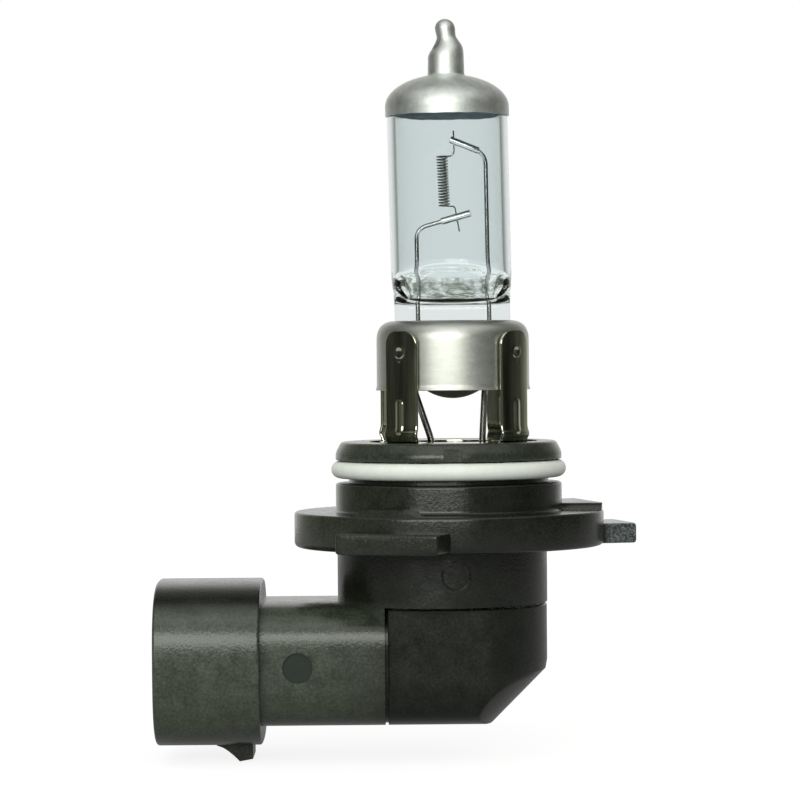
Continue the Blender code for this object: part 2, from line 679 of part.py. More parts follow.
def outer_lead_route(inner_x, exit_x, base_x, terminal_y):
    """Corners of an outer lead, from the foot of its inner lead down to its terminal's eyelet."""
    x = PREFOCUS_SHIFT + base_x
    eyelet_end_z = STEM_AXIS_Z - TERMINAL_THICKNESS / 2 - LEAD_TAIL_LENGTH
    sealant_end_z = WEB_BOTTOM_Z - SEALANT_THICKNESS
    corners = [(PREFOCUS_SHIFT + inner_x, 0.0, INNER_LEAD_FOOT_Z - FIT_GAP),
               (PREFOCUS_SHIFT + exit_x, 0.0, CUP_BOTTOM_Z),
               (x, 0.0, COLLAR_TOP_Z + OUTER_LEAD_DIAMETER),
               (x, 0.0, sealant_end_z - OUTER_LEAD_BEND),
               (x, terminal_y, STEM_AXIS_Z + TERMINAL_THICKNESS / 2 + OUTER_LEAD_BEND * 2),
               (x, terminal_y, eyelet_end_z)]
    return [Vector(corner) for corner in corners]


FRONT_Y = -TERMINAL_SPACING / 2
REAR_Y = TERMINAL_SPACING / 2
OUTER_LEAD_ROUTES = {
    "left_outer_lead": outer_lead_route(SHORT_LEAD_X, LEFT_LEAD_EXIT_X, LEFT_LEAD_BASE_X, FRONT_Y),
    "right_outer_lead": outer_lead_route(LONG_LEAD_X, RIGHT_LEAD_EXIT_X, RIGHT_LEAD_BASE_X, REAR_Y),
}


def make_outer_leads():
    """The two supply wires between the glass foot and the terminals."""
    for name, route in OUTER_LEAD_ROUTES.items():
        lead = wire(name, bent_path(route, OUTER_LEAD_BEND), OUTER_LEAD_DIAMETER, 2)
        finish(lead, BASE_AXIS, (0.30, 0.29, 0.28), 0.2, metallic=1.0)


def cut_lead_holes(obj, prefix, low_z, high_z):
    """Drills the two upright lead holes through a piece."""
    for name, route in OUTER_LEAD_ROUTES.items():
        x = route[2].x
        hole = rod(f"{prefix}_{name}_hole", OUTER_LEAD_DIAMETER + 2 * FIT_GAP,
                   (x, 0.0, low_z), (x, 0.0, high_z), SMALL_SIDES)
        combine(obj, hole, "DIFFERENCE")


def make_lead_sealant():
    """Sealant poured into the base bore under the web, round both leads."""
    radius = BORE_DIAMETER / 2 - FIT_GAP
    top = WEB_BOTTOM_Z - FIT_GAP
    low = WEB_BOTTOM_Z - SEALANT_THICKNESS
    sealant = rod("lead_sealant", 2 * radius, (0.0, 0.0, low), (0.0, 0.0, top), CAPSULE_SIDES)
    cut_lead_holes(sealant, "sealant", low - FIT_GAP, top + FIT_GAP)
    finish(sealant, BASE_AXIS, (0.10, 0.10, 0.10), 0.6)


def make_terminal(name, y, lead_name):
    """Flat tinned blade: its tip in the plug shroud, its tail with an eyelet for the lead."""
    lead_x = OUTER_LEAD_ROUTES[lead_name][-1].x
    tip_x = SHROUD_MOUTH_X + TERMINAL_SETBACK
    half = TERMINAL_WIDTH / 2
    tip_half = half - TERMINAL_TIP_LENGTH / 2
    tail_x = lead_x + TERMINAL_END_MARGIN
    outline = [(tip_x, -tip_half), (tip_x + TERMINAL_TIP_LENGTH, -half), (tail_x, -half),
               (tail_x, half), (tip_x + TERMINAL_TIP_LENGTH, half), (tip_x, tip_half)]
    eyelet = arc((lead_x, 0.0), OUTER_LEAD_DIAMETER / 2 + FIT_GAP, 0, 360, SMALL_SIDES)[:-1]
    place = Matrix.Translation((0.0, y, STEM_AXIS_Z))
    blade = plate(name, [outline, eyelet], TERMINAL_THICKNESS, place)
    finish(blade, BASE_AXIS, (0.72, 0.70, 0.66), 0.25, metallic=1.0)


# Base moulding, seal and cover

def make_sealing_ring():
    """Silicone ring pushed up under the collar in its groove."""
    radius = SEAL_SECTION / 2
    centre = (SEAL_OUTER_DIAMETER / 2 - radius, COLLAR_BOTTOM_Z - radius - FIT_GAP)
    section = arc(centre, radius, 90, -270, SMALL_SIDES)[:-1]
    ring = turned("sealing_ring", section, BASE_SIDES, closed=True)
    finish(ring, BASE_AXIS, (0.84, 0.84, 0.78), 0.5)


def base_spindle():
    """The turned stretch of the moulding: collar, seal groove, neck and flange."""
    groove = SEAL_OUTER_DIAMETER / 2 - SEAL_SECTION - FIT_GAP / 2
    profile = [(0.0, COLLAR_TOP_Z), (COLLAR_TOP_DIAMETER / 2, COLLAR_TOP_Z),
               (COLLAR_DIAMETER / 2, COLLAR_TOP_Z - COLLAR_BEVEL_HEIGHT),
               (COLLAR_DIAMETER / 2, COLLAR_BOTTOM_Z), (groove, COLLAR_BOTTOM_Z),
               (groove, NECK_HEIGHT), (NECK_DIAMETER / 2, NECK_HEIGHT),
               (NECK_DIAMETER / 2, FLANGE_TOP_Z), (FLANGE_DIAMETER / 2, FLANGE_TOP_Z),
               (FLANGE_DIAMETER / 2, FLANGE_BOTTOM_Z), (0.0, FLANGE_BOTTOM_Z)]
    return turned("base_housing", profile, BASE_SIDES)


def add_pads_and_lugs(housing):
    """Three raised seat pads on the flange and three lugs that lock it in its holder."""
    outer = FLANGE_DIAMETER / 2 - PAD_SETBACK
    inner = max(SEAL_OUTER_DIAMETER, NECK_DIAMETER) / 2 + SEAM_GAP
    low = FLANGE_TOP_Z - PAD_HEIGHT
    ring = [(outer, 0.0), (outer, low), (inner, low), (inner, 0.0)]
    for k, (angle, width, slope_run) in enumerate(PADS):
        half = width / 2
        foot = half + slope_run * 2
        outline = [(-foot, -2 * PAD_HEIGHT), (foot, -2 * PAD_HEIGHT), (half, 0.0), (-half, 0.0)]
        spin = Matrix.Rotation(math.radians(angle), 4, "Z")
        mid = Matrix.Translation((FLANGE_DIAMETER / 2, 0.0, 0.0))
        ramp = plate(f"pad_ramp_{k + 1}", [outline], FLANGE_DIAMETER, spin @ mid @ ALONG_X)
        pad = turned(f"pad_{k + 1}", ring, BASE_SIDES, closed=True)
        combine(pad, ramp, "INTERSECT")
        combine(housing, pad, "UNION")
    lug_top = FLANGE_TOP_Z - LUG_DROP
    for k, (angle, width) in enumerate(LUGS):
        lug = block(f"lug_{k + 1}", (NECK_DIAMETER / 2, -width / 2, lug_top - LUG_THICKNESS),
                    (LUG_REACH, width / 2, lug_top))
        lug.rotation_euler = (0.0, 0.0, math.radians(angle))
        combine(housing, lug, "UNION")


def add_elbow_and_shroud(housing):
    """Elbow body, stem, plug shroud and the latch wedge under the shroud."""
    elbow = rod("elbow", BODY_DIAMETER, (BODY_OFFSET, 0.0, STEM_AXIS_Z),
                (BODY_OFFSET, 0.0, FLANGE_TOP_Z - FLANGE_THICKNESS / 2), BASE_SIDES)
    combine(housing, elbow, "UNION")
    stem_outline = superellipse(STEM_WIDTH / 2, STEM_HEIGHT / 2, STEM_ROUNDNESS, BASE_SIDES)
    stem = bar_along_x("stem", stem_outline, SHROUD_FLOOR_X, STEM_END_X + STEM_WALL, STEM_AXIS_Z)
    combine(housing, stem, "UNION")
    room = BODY_DIAMETER
    space = block("cover_space", (STEM_END_X, -room, STEM_AXIS_Z - room), (room, room, BODY_BOTTOM_Z))
    combine(housing, space, "DIFFERENCE")
    shroud_outline = superellipse(SHROUD_WIDTH / 2, SHROUD_HEIGHT / 2, SHROUD_ROUNDNESS, BASE_SIDES)
    shroud = bar_along_x("shroud", shroud_outline, SHROUD_MOUTH_X, SHROUD_BACK_X, STEM_AXIS_Z)
    combine(housing, shroud, "UNION")
    combine(housing, latch_wedge(), "UNION")


def latch_wedge():
    """Catch under the shroud: a hollow ramp, a short crest and an upright face."""
    end_x = SHROUD_BACK_X - LATCH_SETBACK
    crest_x = end_x - LATCH_CREST_LENGTH
    start_x = crest_x - LATCH_RAMP_LENGTH
    root_z = SHROUD_BOTTOM_Z + SHROUD_WALL / 2
    outline = [(start_x, root_z)]
    for k in range(ARC_STEPS + 1):
        t = k / ARC_STEPS
        outline.append((start_x + LATCH_RAMP_LENGTH * t, SHROUD_BOTTOM_Z - LATCH_HEIGHT * t ** 1.5))
    outline += [(end_x, SHROUD_BOTTOM_Z - LATCH_HEIGHT * 0.85), (end_x, root_z)]
    return plate("latch_wedge", [outline], LATCH_WIDTH, ALONG_Y)


def hollow_housing(housing):
    """Retainer pocket, lead holes, bore, stem pocket, plug cavity, terminal slots and marks."""
    pocket_diameter = CUP_DIAMETER + 2 * (CUP_LIP + RETAINER_THICKNESS + 2 * FIT_GAP)
    pocket = rod("retainer_pocket", pocket_diameter, (PREFOCUS_SHIFT, 0.0, POCKET_FLOOR_Z),
                 (PREFOCUS_SHIFT, 0.0, COLLAR_TOP_Z + FLANGE_THICKNESS), CAPSULE_SIDES)
    combine(housing, pocket, "DIFFERENCE")
    bore = rod("base_bore", BORE_DIAMETER, (0.0, 0.0, BODY_BOTTOM_Z - STEM_AXIS_DROP),
               (0.0, 0.0, WEB_BOTTOM_Z), CAPSULE_SIDES)
    combine(housing, bore, "DIFFERENCE")
    cut_lead_holes(housing, "web", WEB_BOTTOM_Z - WEB_THICKNESS, COLLAR_TOP_Z)
    pocket_outline = superellipse(STEM_WIDTH / 2 - STEM_WALL, STEM_HEIGHT / 2 - STEM_WALL,
                                  STEM_ROUNDNESS, CAPSULE_SIDES)
    stem_pocket = bar_along_x("stem_pocket", pocket_outline, STEM_POCKET_X,
                              STEM_END_X + 2 * STEM_WALL, STEM_AXIS_Z)
    combine(housing, stem_pocket, "DIFFERENCE")
    cavity_outline = superellipse(SHROUD_WIDTH / 2 - SHROUD_WALL, SHROUD_HEIGHT / 2 - SHROUD_WALL,
                                  SHROUD_ROUNDNESS, BASE_SIDES)
    cavity = bar_along_x("plug_cavity", cavity_outline, SHROUD_MOUTH_X - SHROUD_WALL,
                         SHROUD_FLOOR_X, STEM_AXIS_Z)
    combine(housing, cavity, "DIFFERENCE")
    half_width = TERMINAL_WIDTH / 2 + FIT_GAP
    half_height = TERMINAL_THICKNESS / 2 + FIT_GAP
    for name, y in (("front_terminal_slot", FRONT_Y), ("rear_terminal_slot", REAR_Y)):
        slot = block(name, (SHROUD_FLOOR_X - SHROUD_FLOOR, y - half_width, STEM_AXIS_Z - half_height),
                     (STEM_POCKET_X + STEM_WALL, y + half_width, STEM_AXIS_Z + half_height))
        combine(housing, slot, "DIFFERENCE")


def mark_housing(housing):
    """Ejector-pin marks on the body and the stem, and the shallow notch in the collar's rim."""
    body_y = -math.sqrt((BODY_DIAMETER / 2) ** 2 - (BODY_MARK_X - BODY_OFFSET) ** 2)
    stem_y = -STEM_WIDTH / 2
    body_z = FLANGE_BOTTOM_Z - BODY_MARK_DROP
    stem_x = STEM_END_X - STEM_MARK_SETBACK
    marks = {"body_mark": (BODY_MARK_X, body_y, body_z), "stem_mark": (stem_x, stem_y, STEM_AXIS_Z)}
    for name, (x, y, z) in marks.items():
        floor = (x, y + PIN_MARK_DEPTH, z)
        mark = rod(name, PIN_MARK_DIAMETER, floor, (x, y - PIN_MARK_DIAMETER, z), SMALL_SIDES)
        combine(housing, mark, "DIFFERENCE")
    half = COLLAR_NOTCH_WIDTH / 2
    low = (COLLAR_NOTCH_X - half, -COLLAR_DIAMETER, COLLAR_BOTTOM_Z - FIT_GAP)
    high = (COLLAR_NOTCH_X + half, COLLAR_NOTCH_DEPTH - COLLAR_DIAMETER / 2, COLLAR_TOP_Z + FIT_GAP)
    combine(housing, block("collar_notch", low, high), "DIFFERENCE")


def make_base_housing():
    """The black moulding that carries everything."""
    housing = base_spindle()
    add_pads_and_lugs(housing)
    add_elbow_and_shroud(housing)
    hollow_housing(housing)
    mark_housing(housing)
    finish(housing, BASE_AXIS, (0.045, 0.050, 0.047), 0.5)


def cover_form(name, inset, left_x, top_z):
    """The cover's outside drawn in by an inset: upright cylinder, flat sides, cut-off corner."""
    low_z = STEM_BOTTOM_Z + inset
    radius = COVER_DIAMETER / 2 - inset
    half_width = COVER_WIDTH / 2 - inset
    right_x = BODY_OFFSET + COVER_DIAMETER / 2
    form = rod(name, 2 * radius, (BODY_OFFSET, 0.0, low_z), (BODY_OFFSET, 0.0, top_z), BASE_SIDES)
    sides = block(name + "_sides", (left_x, -half_width, low_z - COVER_DIAMETER),
                  (right_x + COVER_DIAMETER, half_width, top_z + COVER_DIAMETER))
    combine(form, sides, "INTERSECT")
    slope = Vector((-1.0, 0.0, -1.0)).normalized()
    outward = Vector((1.0, 0.0, -1.0)).normalized()
    crest = Vector((right_x - COVER_CORNER_CUT / 2, 0.0, STEM_BOTTOM_Z + COVER_CORNER_CUT / 2))
    middle = crest - outward * COVER_CUT_CROWN
    crown = rod(name + "_crown", 2 * (COVER_CUT_CROWN - inset), middle - slope * COVER_DIAMETER * 2,
                middle + slope * COVER_DIAMETER * 2, BASE_SIDES)
    combine(form, crown, "INTERSECT")
    return form


def make_rear_cover():
    """Elbow cap that closes the lead chamber; its top and its stem side are open."""
    left_x = STEM_END_X + SEAM_GAP
    top_z = BODY_BOTTOM_Z - SEAM_GAP
    cover = cover_form("rear_cover", 0.0, left_x, top_z)
    chamber = cover_form("cover_chamber", COVER_WALL, left_x - COVER_WALL, top_z + COVER_WALL)
    combine(cover, chamber, "DIFFERENCE")
    finish(cover, BASE_AXIS, (0.045, 0.048, 0.045), 0.5)


make_base_housing()
make_sealing_ring()
make_rear_cover()
make_terminal("front_terminal", FRONT_Y, "left_outer_lead")
make_terminal("rear_terminal", REAR_Y, "right_outer_lead")
make_lead_sealant()
make_outer_leads()
make_capsule_retainer()
make_capsule_cup()
make_cement_plug()
make_glass_envelope()
make_anti_glare_cap()
make_inner_lead("long_inner_lead", LONG_LEAD_X, UPPER_CLAMP)
make_inner_lead("short_inner_lead", SHORT_LEAD_X, LOWER_CLAMP)
make_leg_clamp("upper_leg_clamp", UPPER_CLAMP)
make_leg_clamp("lower_leg_clamp", LOWER_CLAMP)
make_filament()
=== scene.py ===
"""Looks of a right-angle halogen headlight bulb, put together piece by piece around its CAD frame.

Metres, in the frame of the CAD: +Z up the base axis to the glass tip, the origin in the seating
plane on top of the flange pads, the plug shroud towards -X and the photograph's viewer towards -Y.
"""

import math

import bpy
import numpy as np
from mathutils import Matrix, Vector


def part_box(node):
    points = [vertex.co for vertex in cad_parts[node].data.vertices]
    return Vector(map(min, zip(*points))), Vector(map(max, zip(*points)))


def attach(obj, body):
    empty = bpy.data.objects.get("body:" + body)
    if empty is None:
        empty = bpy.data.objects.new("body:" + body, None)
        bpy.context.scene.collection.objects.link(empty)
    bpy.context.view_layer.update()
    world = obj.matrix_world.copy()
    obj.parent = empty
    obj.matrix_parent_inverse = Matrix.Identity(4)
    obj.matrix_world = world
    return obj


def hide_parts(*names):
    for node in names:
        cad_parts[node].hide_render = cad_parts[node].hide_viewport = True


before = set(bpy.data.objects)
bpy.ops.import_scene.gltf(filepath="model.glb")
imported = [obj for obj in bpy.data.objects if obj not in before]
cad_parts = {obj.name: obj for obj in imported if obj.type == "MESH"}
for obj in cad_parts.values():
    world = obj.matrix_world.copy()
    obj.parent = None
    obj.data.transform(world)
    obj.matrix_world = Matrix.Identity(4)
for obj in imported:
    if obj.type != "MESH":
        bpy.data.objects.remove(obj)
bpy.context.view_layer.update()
mm = 0.001

# Base housing
# One black moulding of glass-filled nylon: collar, ring groove, neck, lugged flange, elbow body, stem
# and plug shroud. Injection moulding leaves its edges softly rounded and its skin finely grained.
COLLAR_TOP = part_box("base_housing")[1].z
COLLAR_RADIUS = 11.05 * mm
COLLAR_TOP_RADIUS = 10.5 * mm
COLLAR_BEVEL = 1.06 * mm
COLLAR_FOOT = 4.31 * mm
COLLAR_NOTCH_X = 0.3 * mm
COLLAR_NOTCH_WIDTH = 1.8 * mm
COLLAR_NOTCH_DEPTH = 0.3 * mm
GROOVE_RADIUS = 9.76 * mm
NECK_TOP = 2.06 * mm
NECK_RADIUS = 11.05 * mm
FLANGE_TOP = -0.7 * mm
FLANGE_FOOT = -4.15 * mm
FLANGE_RADIUS = 15.125 * mm
BODY_RADIUS = 10.25 * mm
BODY_X = -0.7 * mm
BODY_FOOT = -9.6 * mm
BODY_MARK = (0.5 * mm, -6.5 * mm)
BORE_RADIUS = 5.8 * mm
WEB_FOOT = 2.61 * mm
POCKET_FLOOR = 5.61 * mm
POCKET_RADIUS = 8.22 * mm
STEM_AXIS = -15.27 * mm
STEM_END = -6.35 * mm
STEM_HALF_WIDTH = 8.9 * mm
STEM_HALF_HEIGHT = 6.05 * mm
STEM_ROUNDNESS = 4.0
STEM_WALL = 2.0 * mm
STEM_MARK_X = -14.7 * mm
MARK_RADIUS = 1.45 * mm
MARK_DEPTH = 0.2 * mm
SHROUD_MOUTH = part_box("base_housing")[0].x
SHROUD_BACK = -18.3 * mm
SHROUD_FLOOR = -19.8 * mm
SHROUD_HALF_WIDTH = 10.25 * mm
SHROUD_HALF_HEIGHT = 7.975 * mm
SHROUD_ROUNDNESS = 3.0
SHROUD_WALL = 1.5 * mm
TERMINAL_SEAT_END = -14.0 * mm
TERMINAL_Y = 3.4 * mm
TERMINAL_SLOT = (1.5 * mm, 0.5 * mm)
LATCH_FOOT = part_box("base_housing")[0].z
LATCH_START = -22.8 * mm
LATCH_CREST = -20.55 * mm
LATCH_END = -19.27 * mm
LATCH_WIDTH = 6.0 * mm
LUG_REACH = 17.95 * mm
LUG_TOP = -2.1 * mm
LUG_FOOT = -4.1 * mm
LUGS = ((-110.0, 10.2 * mm), (13.0, 8.0 * mm), (131.0, 8.0 * mm))
PAD_INNER_RADIUS = 11.0 * mm
PAD_OUTER_RADIUS = 15.02 * mm
PADS = ((-116.0, 2.4 * mm, 1.4 * mm), (13.0, 8.6 * mm, 0.2 * mm), (114.0, 7.0 * mm, 0.2 * mm))
PREFOCUS_X = 0.5 * mm
LEAD_BASE_X = {"left": -1.5 * mm, "right": 3.3 * mm}
LEAD_HOLE_RADIUS = 0.42 * mm
ROUND_SIDES = 160
TO_RIGHT = (1.0, 0.0, 0.0)
TO_BACK = (0.0, 1.0, 0.0)
TO_FRONT = (0.0, -1.0, 0.0)
UPWARD = (0.0, 0.0, 1.0)


def round_corners(points, radii, steps=6, closed=False):
    """Polyline with its corners eased: a parabola from `radius` before each corner to `radius` after it,
    p(t) = (1-t)^2 start + 2t(1-t) corner + t^2 end."""
    points = np.array(points, float)
    before = np.roll(points, 1, axis=0) - points
    after = np.roll(points, -1, axis=0) - points
    length_before = np.linalg.norm(before, axis=1)
    length_after = np.linalg.norm(after, axis=1)
    reach = np.minimum(np.broadcast_to(radii, len(points)), 0.49 * np.minimum(length_before, length_after))
    if not closed:
        reach = reach * np.r_[0.0, np.ones(len(points) - 2), 0.0]
    start = points + before * (reach / length_before)[:, None]
    end = points + after * (reach / length_after)[:, None]
    t = np.linspace(0.0, 1.0, steps + 1)[None, :, None]
    eased = (1 - t) ** 2 * start[:, None] + 2 * t * (1 - t) * points[:, None] + t ** 2 * end[:, None]
    eased = eased.reshape(-1, points.shape[1])
    step = np.linalg.norm(eased - np.roll(eased, 1, axis=0), axis=1)
    return eased[(step > 1e-8) | (np.arange(len(eased)) == 0)]


def skin(name, grid, ring=False, top=None, foot=None):
    """Mesh over a grid of points, rows by columns by xyz. Columns run round and close on themselves. Rows
    run from the top down; each end closes to a middle point, or with `ring` the last row joins the first."""
    rows, columns = grid.shape[:2]
    index = np.arange(rows * columns).reshape(rows, columns)
    if ring:
        index = np.vstack((index, index[:1]))
    beside = np.roll(index, -1, axis=1)
    faces = np.stack((index[:-1], index[1:], beside[1:], beside[:-1]), axis=-1).reshape(-1, 4).tolist()
    points = grid.reshape(-1, 3)
    if not ring:
        top = grid[0].mean(axis=0) if top is None else top
        foot = grid[-1].mean(axis=0) if foot is None else foot
        points = np.vstack((points, top, foot))
        crown = np.full(columns, rows * columns)
        faces += np.stack((crown, index[0], beside[0]), axis=1).tolist()
        faces += np.stack((crown + 1, beside[-1], index[-1]), axis=1).tolist()
    mesh = bpy.data.meshes.new(name)
    mesh.from_pydata(points.tolist(), [], faces)
    piece = bpy.data.objects.new(name, mesh)
    bpy.context.scene.collection.objects.link(piece)
    return piece


def turned(name, profile, x=0.0, ring=False, sides=ROUND_SIDES):
    """Turned shape about an upright axis at x: (radius, height) points, down the outer side first."""
    profile = np.array(profile)
    top = foot = None
    if not ring and profile[0, 0] < 1e-9:
        top = (x, 0.0, profile[0, 1])
        profile = profile[1:]
    if not ring and profile[-1, 0] < 1e-9:
        foot = (x, 0.0, profile[-1, 1])
        profile = profile[:-1]
    angle = np.linspace(0.0, 2 * math.pi, sides, endpoint=False)
    radius = profile[:, :1]
    height = np.broadcast_to(profile[:, 1:], (len(profile), sides))
    grid = np.stack((x + radius * np.cos(angle), radius * np.sin(angle), height), axis=-1)
    return skin(name, grid, ring, top, foot)


def superellipse(half_width, half_height, roundness, count=ROUND_SIDES):
    """Points of |u/a|^n + |v/b|^n = 1, counter-clockwise: u = a cos^(2/n), v = b sin^(2/n)."""
    angle = np.linspace(0.0, 2 * math.pi, count, endpoint=False)
    c, s = np.cos(angle), np.sin(angle)
    return np.stack((half_width * np.sign(c) * np.abs(c) ** (2 / roundness),
                     half_height * np.sign(s) * np.abs(s) ** (2 / roundness)), axis=1)


def rectangle(half_width, half_height):
    """The four corners of a rectangle, counter-clockwise."""
    return np.array([(-1, -1), (1, -1), (1, 1), (-1, 1)]) * (half_width, half_height)


def bar(name, stations, outline, along, across, origin=(0.0, 0.0, 0.0)):
    """Straight bar: an outline carried along a direction. Each station is a distance along it and an inset,
    by which the outline is drawn in towards its middle; stations run from the far end back."""
    along, across, origin = (np.array(v, float) for v in (along, across, origin))
    up = np.cross(along, across)
    stations = np.array(stations, float)
    scale = 1.0 - stations[:, 1, None] / np.abs(outline).max(axis=0)
    section = outline[None] * scale[:, None]
    grid = origin + stations[:, 0, None, None] * along + section[..., :1] * across + section[..., 1:] * up
    return skin(name, grid)


def eased_ends(start, end, start_edge, end_edge, steps=5):
    """Stations of a bar from `end` back to `start`, with its end edges rounded in quarter circles."""
    turn = np.linspace(0.0, math.pi / 2, steps + 1)
    far = np.stack((end - end_edge * (1 - np.cos(turn)), end_edge * (1 - np.sin(turn))), axis=1)
    near = np.stack((start + start_edge * (1 - np.cos(turn)), start_edge * (1 - np.sin(turn))), axis=1)
    return np.vstack((far, near[::-1]))


def combine(piece, tools, operation):
    """Joins tools to a piece or cuts them from it, and keeps only the result."""
    for tool in tools:
        modifier = piece.modifiers.new(tool.name, "BOOLEAN")
        modifier.operation = operation
        modifier.solver = "MANIFOLD"
        modifier.material_mode = "TRANSFER"
        modifier.object = tool
    depsgraph = bpy.context.evaluated_depsgraph_get()
    mesh = bpy.data.meshes.new_from_object(piece.evaluated_get(depsgraph))
    piece.modifiers.clear()
    piece.data = mesh
    for tool in tools:
        bpy.data.objects.remove(tool)
    return piece


def polar(azimuth):
    """Unit vectors outward and sideways at an azimuth in degrees."""
    a = math.radians(azimuth)
    return (math.cos(a), math.sin(a), 0.0), (-math.sin(a), math.cos(a), 0.0)


def drilled(name, x, radius, low, high):
    """Upright round cutter on the plane of symmetry."""
    return turned(name, [(radius, high), (radius, low)], x=x, sides=64)


def grained_finish(name, dark, light, roughness, grain, bump, metallic=0.0, shine=0.5, stretch=(1, 1, 1)):
    """Principled finish on Object coordinates: the colour wanders between two tones with a fine grain and
    broad blotches, the grain also sets the roughness range and a bump of the given depth."""
    material = bpy.data.materials.new(name)
    material.use_nodes = True
    nodes, links = material.node_tree.nodes, material.node_tree.links
    shader = nodes["Principled BSDF"]
    shader.inputs["Metallic"].default_value = metallic
    shader.inputs["Specular IOR Level"].default_value = shine
    place = nodes.new("ShaderNodeTexCoord")
    mapping = nodes.new("ShaderNodeMapping")
    mapping.inputs["Scale"].default_value = stretch
    links.new(place.outputs["Object"], mapping.inputs["Vector"])
    fine = nodes.new("ShaderNodeTexNoise")
    fine.inputs["Scale"].default_value = 1.0 / grain
    fine.inputs["Detail"].default_value = 3.0
    broad = nodes.new("ShaderNodeTexNoise")
    broad.inputs["Scale"].default_value = 1.0 / (6 * grain)
    broad.inputs["Detail"].default_value = 4.0
    for noise in (fine, broad):
        links.new(mapping.outputs["Vector"], noise.inputs["Vector"])
    blend = nodes.new("ShaderNodeMath")
    blend.operation = "MULTIPLY_ADD"
    blend.inputs[1].default_value = 0.55
    links.new(fine.outputs["Fac"], blend.inputs[0])
    half = nodes.new("ShaderNodeMath")
    half.operation = "MULTIPLY"
    half.inputs[1].default_value = 0.45
    links.new(broad.outputs["Fac"], half.inputs[0])
    links.new(half.outputs[0], blend.inputs[2])
    tone = nodes.new("ShaderNodeValToRGB")
    tone.color_ramp.elements[0].position = 0.36
    tone.color_ramp.elements[0].color = (*dark, 1.0)
    tone.color_ramp.elements[1].position = 0.64
    tone.color_ramp.elements[1].color = (*light, 1.0)
    links.new(blend.outputs[0], tone.inputs["Fac"])
    links.new(tone.outputs["Color"], shader.inputs["Base Color"])
    spread = nodes.new("ShaderNodeMapRange")
    spread.inputs["From Min"].default_value = 0.3
    spread.inputs["From Max"].default_value = 0.7
    spread.inputs["To Min"].default_value = roughness[0]
    spread.inputs["To Max"].default_value = roughness[1]
    links.new(blend.outputs[0], spread.inputs["Value"])
    links.new(spread.outputs["Result"], shader.inputs["Roughness"])
    relief = nodes.new("ShaderNodeBump")
    relief.inputs["Distance"].default_value = bump
    links.new(fine.outputs["Fac"], relief.inputs["Height"])
    links.new(relief.outputs["Normal"], shader.inputs["Normal"])
    return material


def paint_light_towards_plug(material):
    """Paints light and shade into a finish's colour. The gain on its colour is
    1 + left share * (flange share + stem share - latch share) + right lug share + collar share, each an
    even ramp: painted light on the left of the flange, stem and shroud where the key falls, the body between
    them left dark as the flange's painted shadow, painted shade on the latch and a painted highlight on the
    collar. The right lug's tip is paled to a speckled grey."""
    nodes, links = material.node_tree.nodes, material.node_tree.links
    place = nodes.new("ShaderNodeSeparateXYZ")
    links.new(nodes["Texture Coordinate"].outputs["Object"], place.inputs[0])

    def share(axis, start, end, most, least=0.0):
        """Ramp along an axis, from `least` at the start to `most` at the end."""
        ramp = nodes.new("ShaderNodeMapRange")
        ramp.inputs["From Min"].default_value = start
        ramp.inputs["From Max"].default_value = end
        ramp.inputs["To Min"].default_value = least
        ramp.inputs["To Max"].default_value = most
        links.new(place.outputs[axis], ramp.inputs["Value"])
        return ramp.outputs["Result"]

    def combined(operation, *values):
        """One sum or product of shares."""
        step = nodes.new("ShaderNodeMath")
        step.operation = operation
        for socket, value in zip(step.inputs, values):
            links.new(value, socket)
        return step.outputs[0]

    # Painted light on the flange, stem and shroud towards the left; painted shade on the latch.
    low = combined("ADD", share("Z", -4.3 * mm, -4.0 * mm, 1.8), share("Z", -9.0 * mm, -10.0 * mm, 4.0))
    low = combined("ADD", low, share("Z", -23.1 * mm, -23.3 * mm, -3.6))
    ends = combined("ADD", share("X", 15.2 * mm, 15.7 * mm, 8.0, 1.0), share("Z", 4.2 * mm, 4.4 * mm, 1.8))
    gain = combined("MULTIPLY_ADD", share("X", -2.0 * mm, -13.0 * mm, 1.0), low, ends)
    paled = nodes.new("ShaderNodeVectorMath")
    paled.operation = "SCALE"
    links.new(nodes["Color Ramp"].outputs["Color"], paled.inputs[0])
    links.new(gain, paled.inputs["Scale"])
    speckle = nodes.new("ShaderNodeTexNoise")
    speckle.inputs["Scale"].default_value = 4.5 / mm
    links.new(nodes["Texture Coordinate"].outputs["Object"], speckle.inputs["Vector"])
    speckled_grey = nodes.new("ShaderNodeValToRGB")
    speckled_grey.color_ramp.elements[0].position = 0.40
    speckled_grey.color_ramp.elements[0].color = (0.030, 0.034, 0.036, 1.0)
    speckled_grey.color_ramp.elements[1].position = 0.66
    speckled_grey.color_ramp.elements[1].color = (0.19, 0.21, 0.225, 1.0)
    links.new(speckle.outputs["Fac"], speckled_grey.inputs["Fac"])
    tipped = nodes.new("ShaderNodeMix")
    tipped.data_type = "RGBA"
    links.new(share("X", 15.2 * mm, 15.7 * mm, 0.9), tipped.inputs[0])
    links.new(paled.outputs[0], tipped.inputs[6])
    links.new(speckled_grey.outputs["Color"], tipped.inputs[7])
    links.new(tipped.outputs[2], nodes["Principled BSDF"].inputs["Base Color"])


def finish_piece(piece, material, sharp=30.0):
    """Gives a piece its material and smooth shading, with edges over `sharp` degrees kept crisp."""
    if not piece.data.materials:
        piece.data.materials.append(None)
    piece.data.materials[0] = material
    piece.data.shade_smooth()
    piece.data.set_sharp_from_angle(angle=math.radians(sharp))


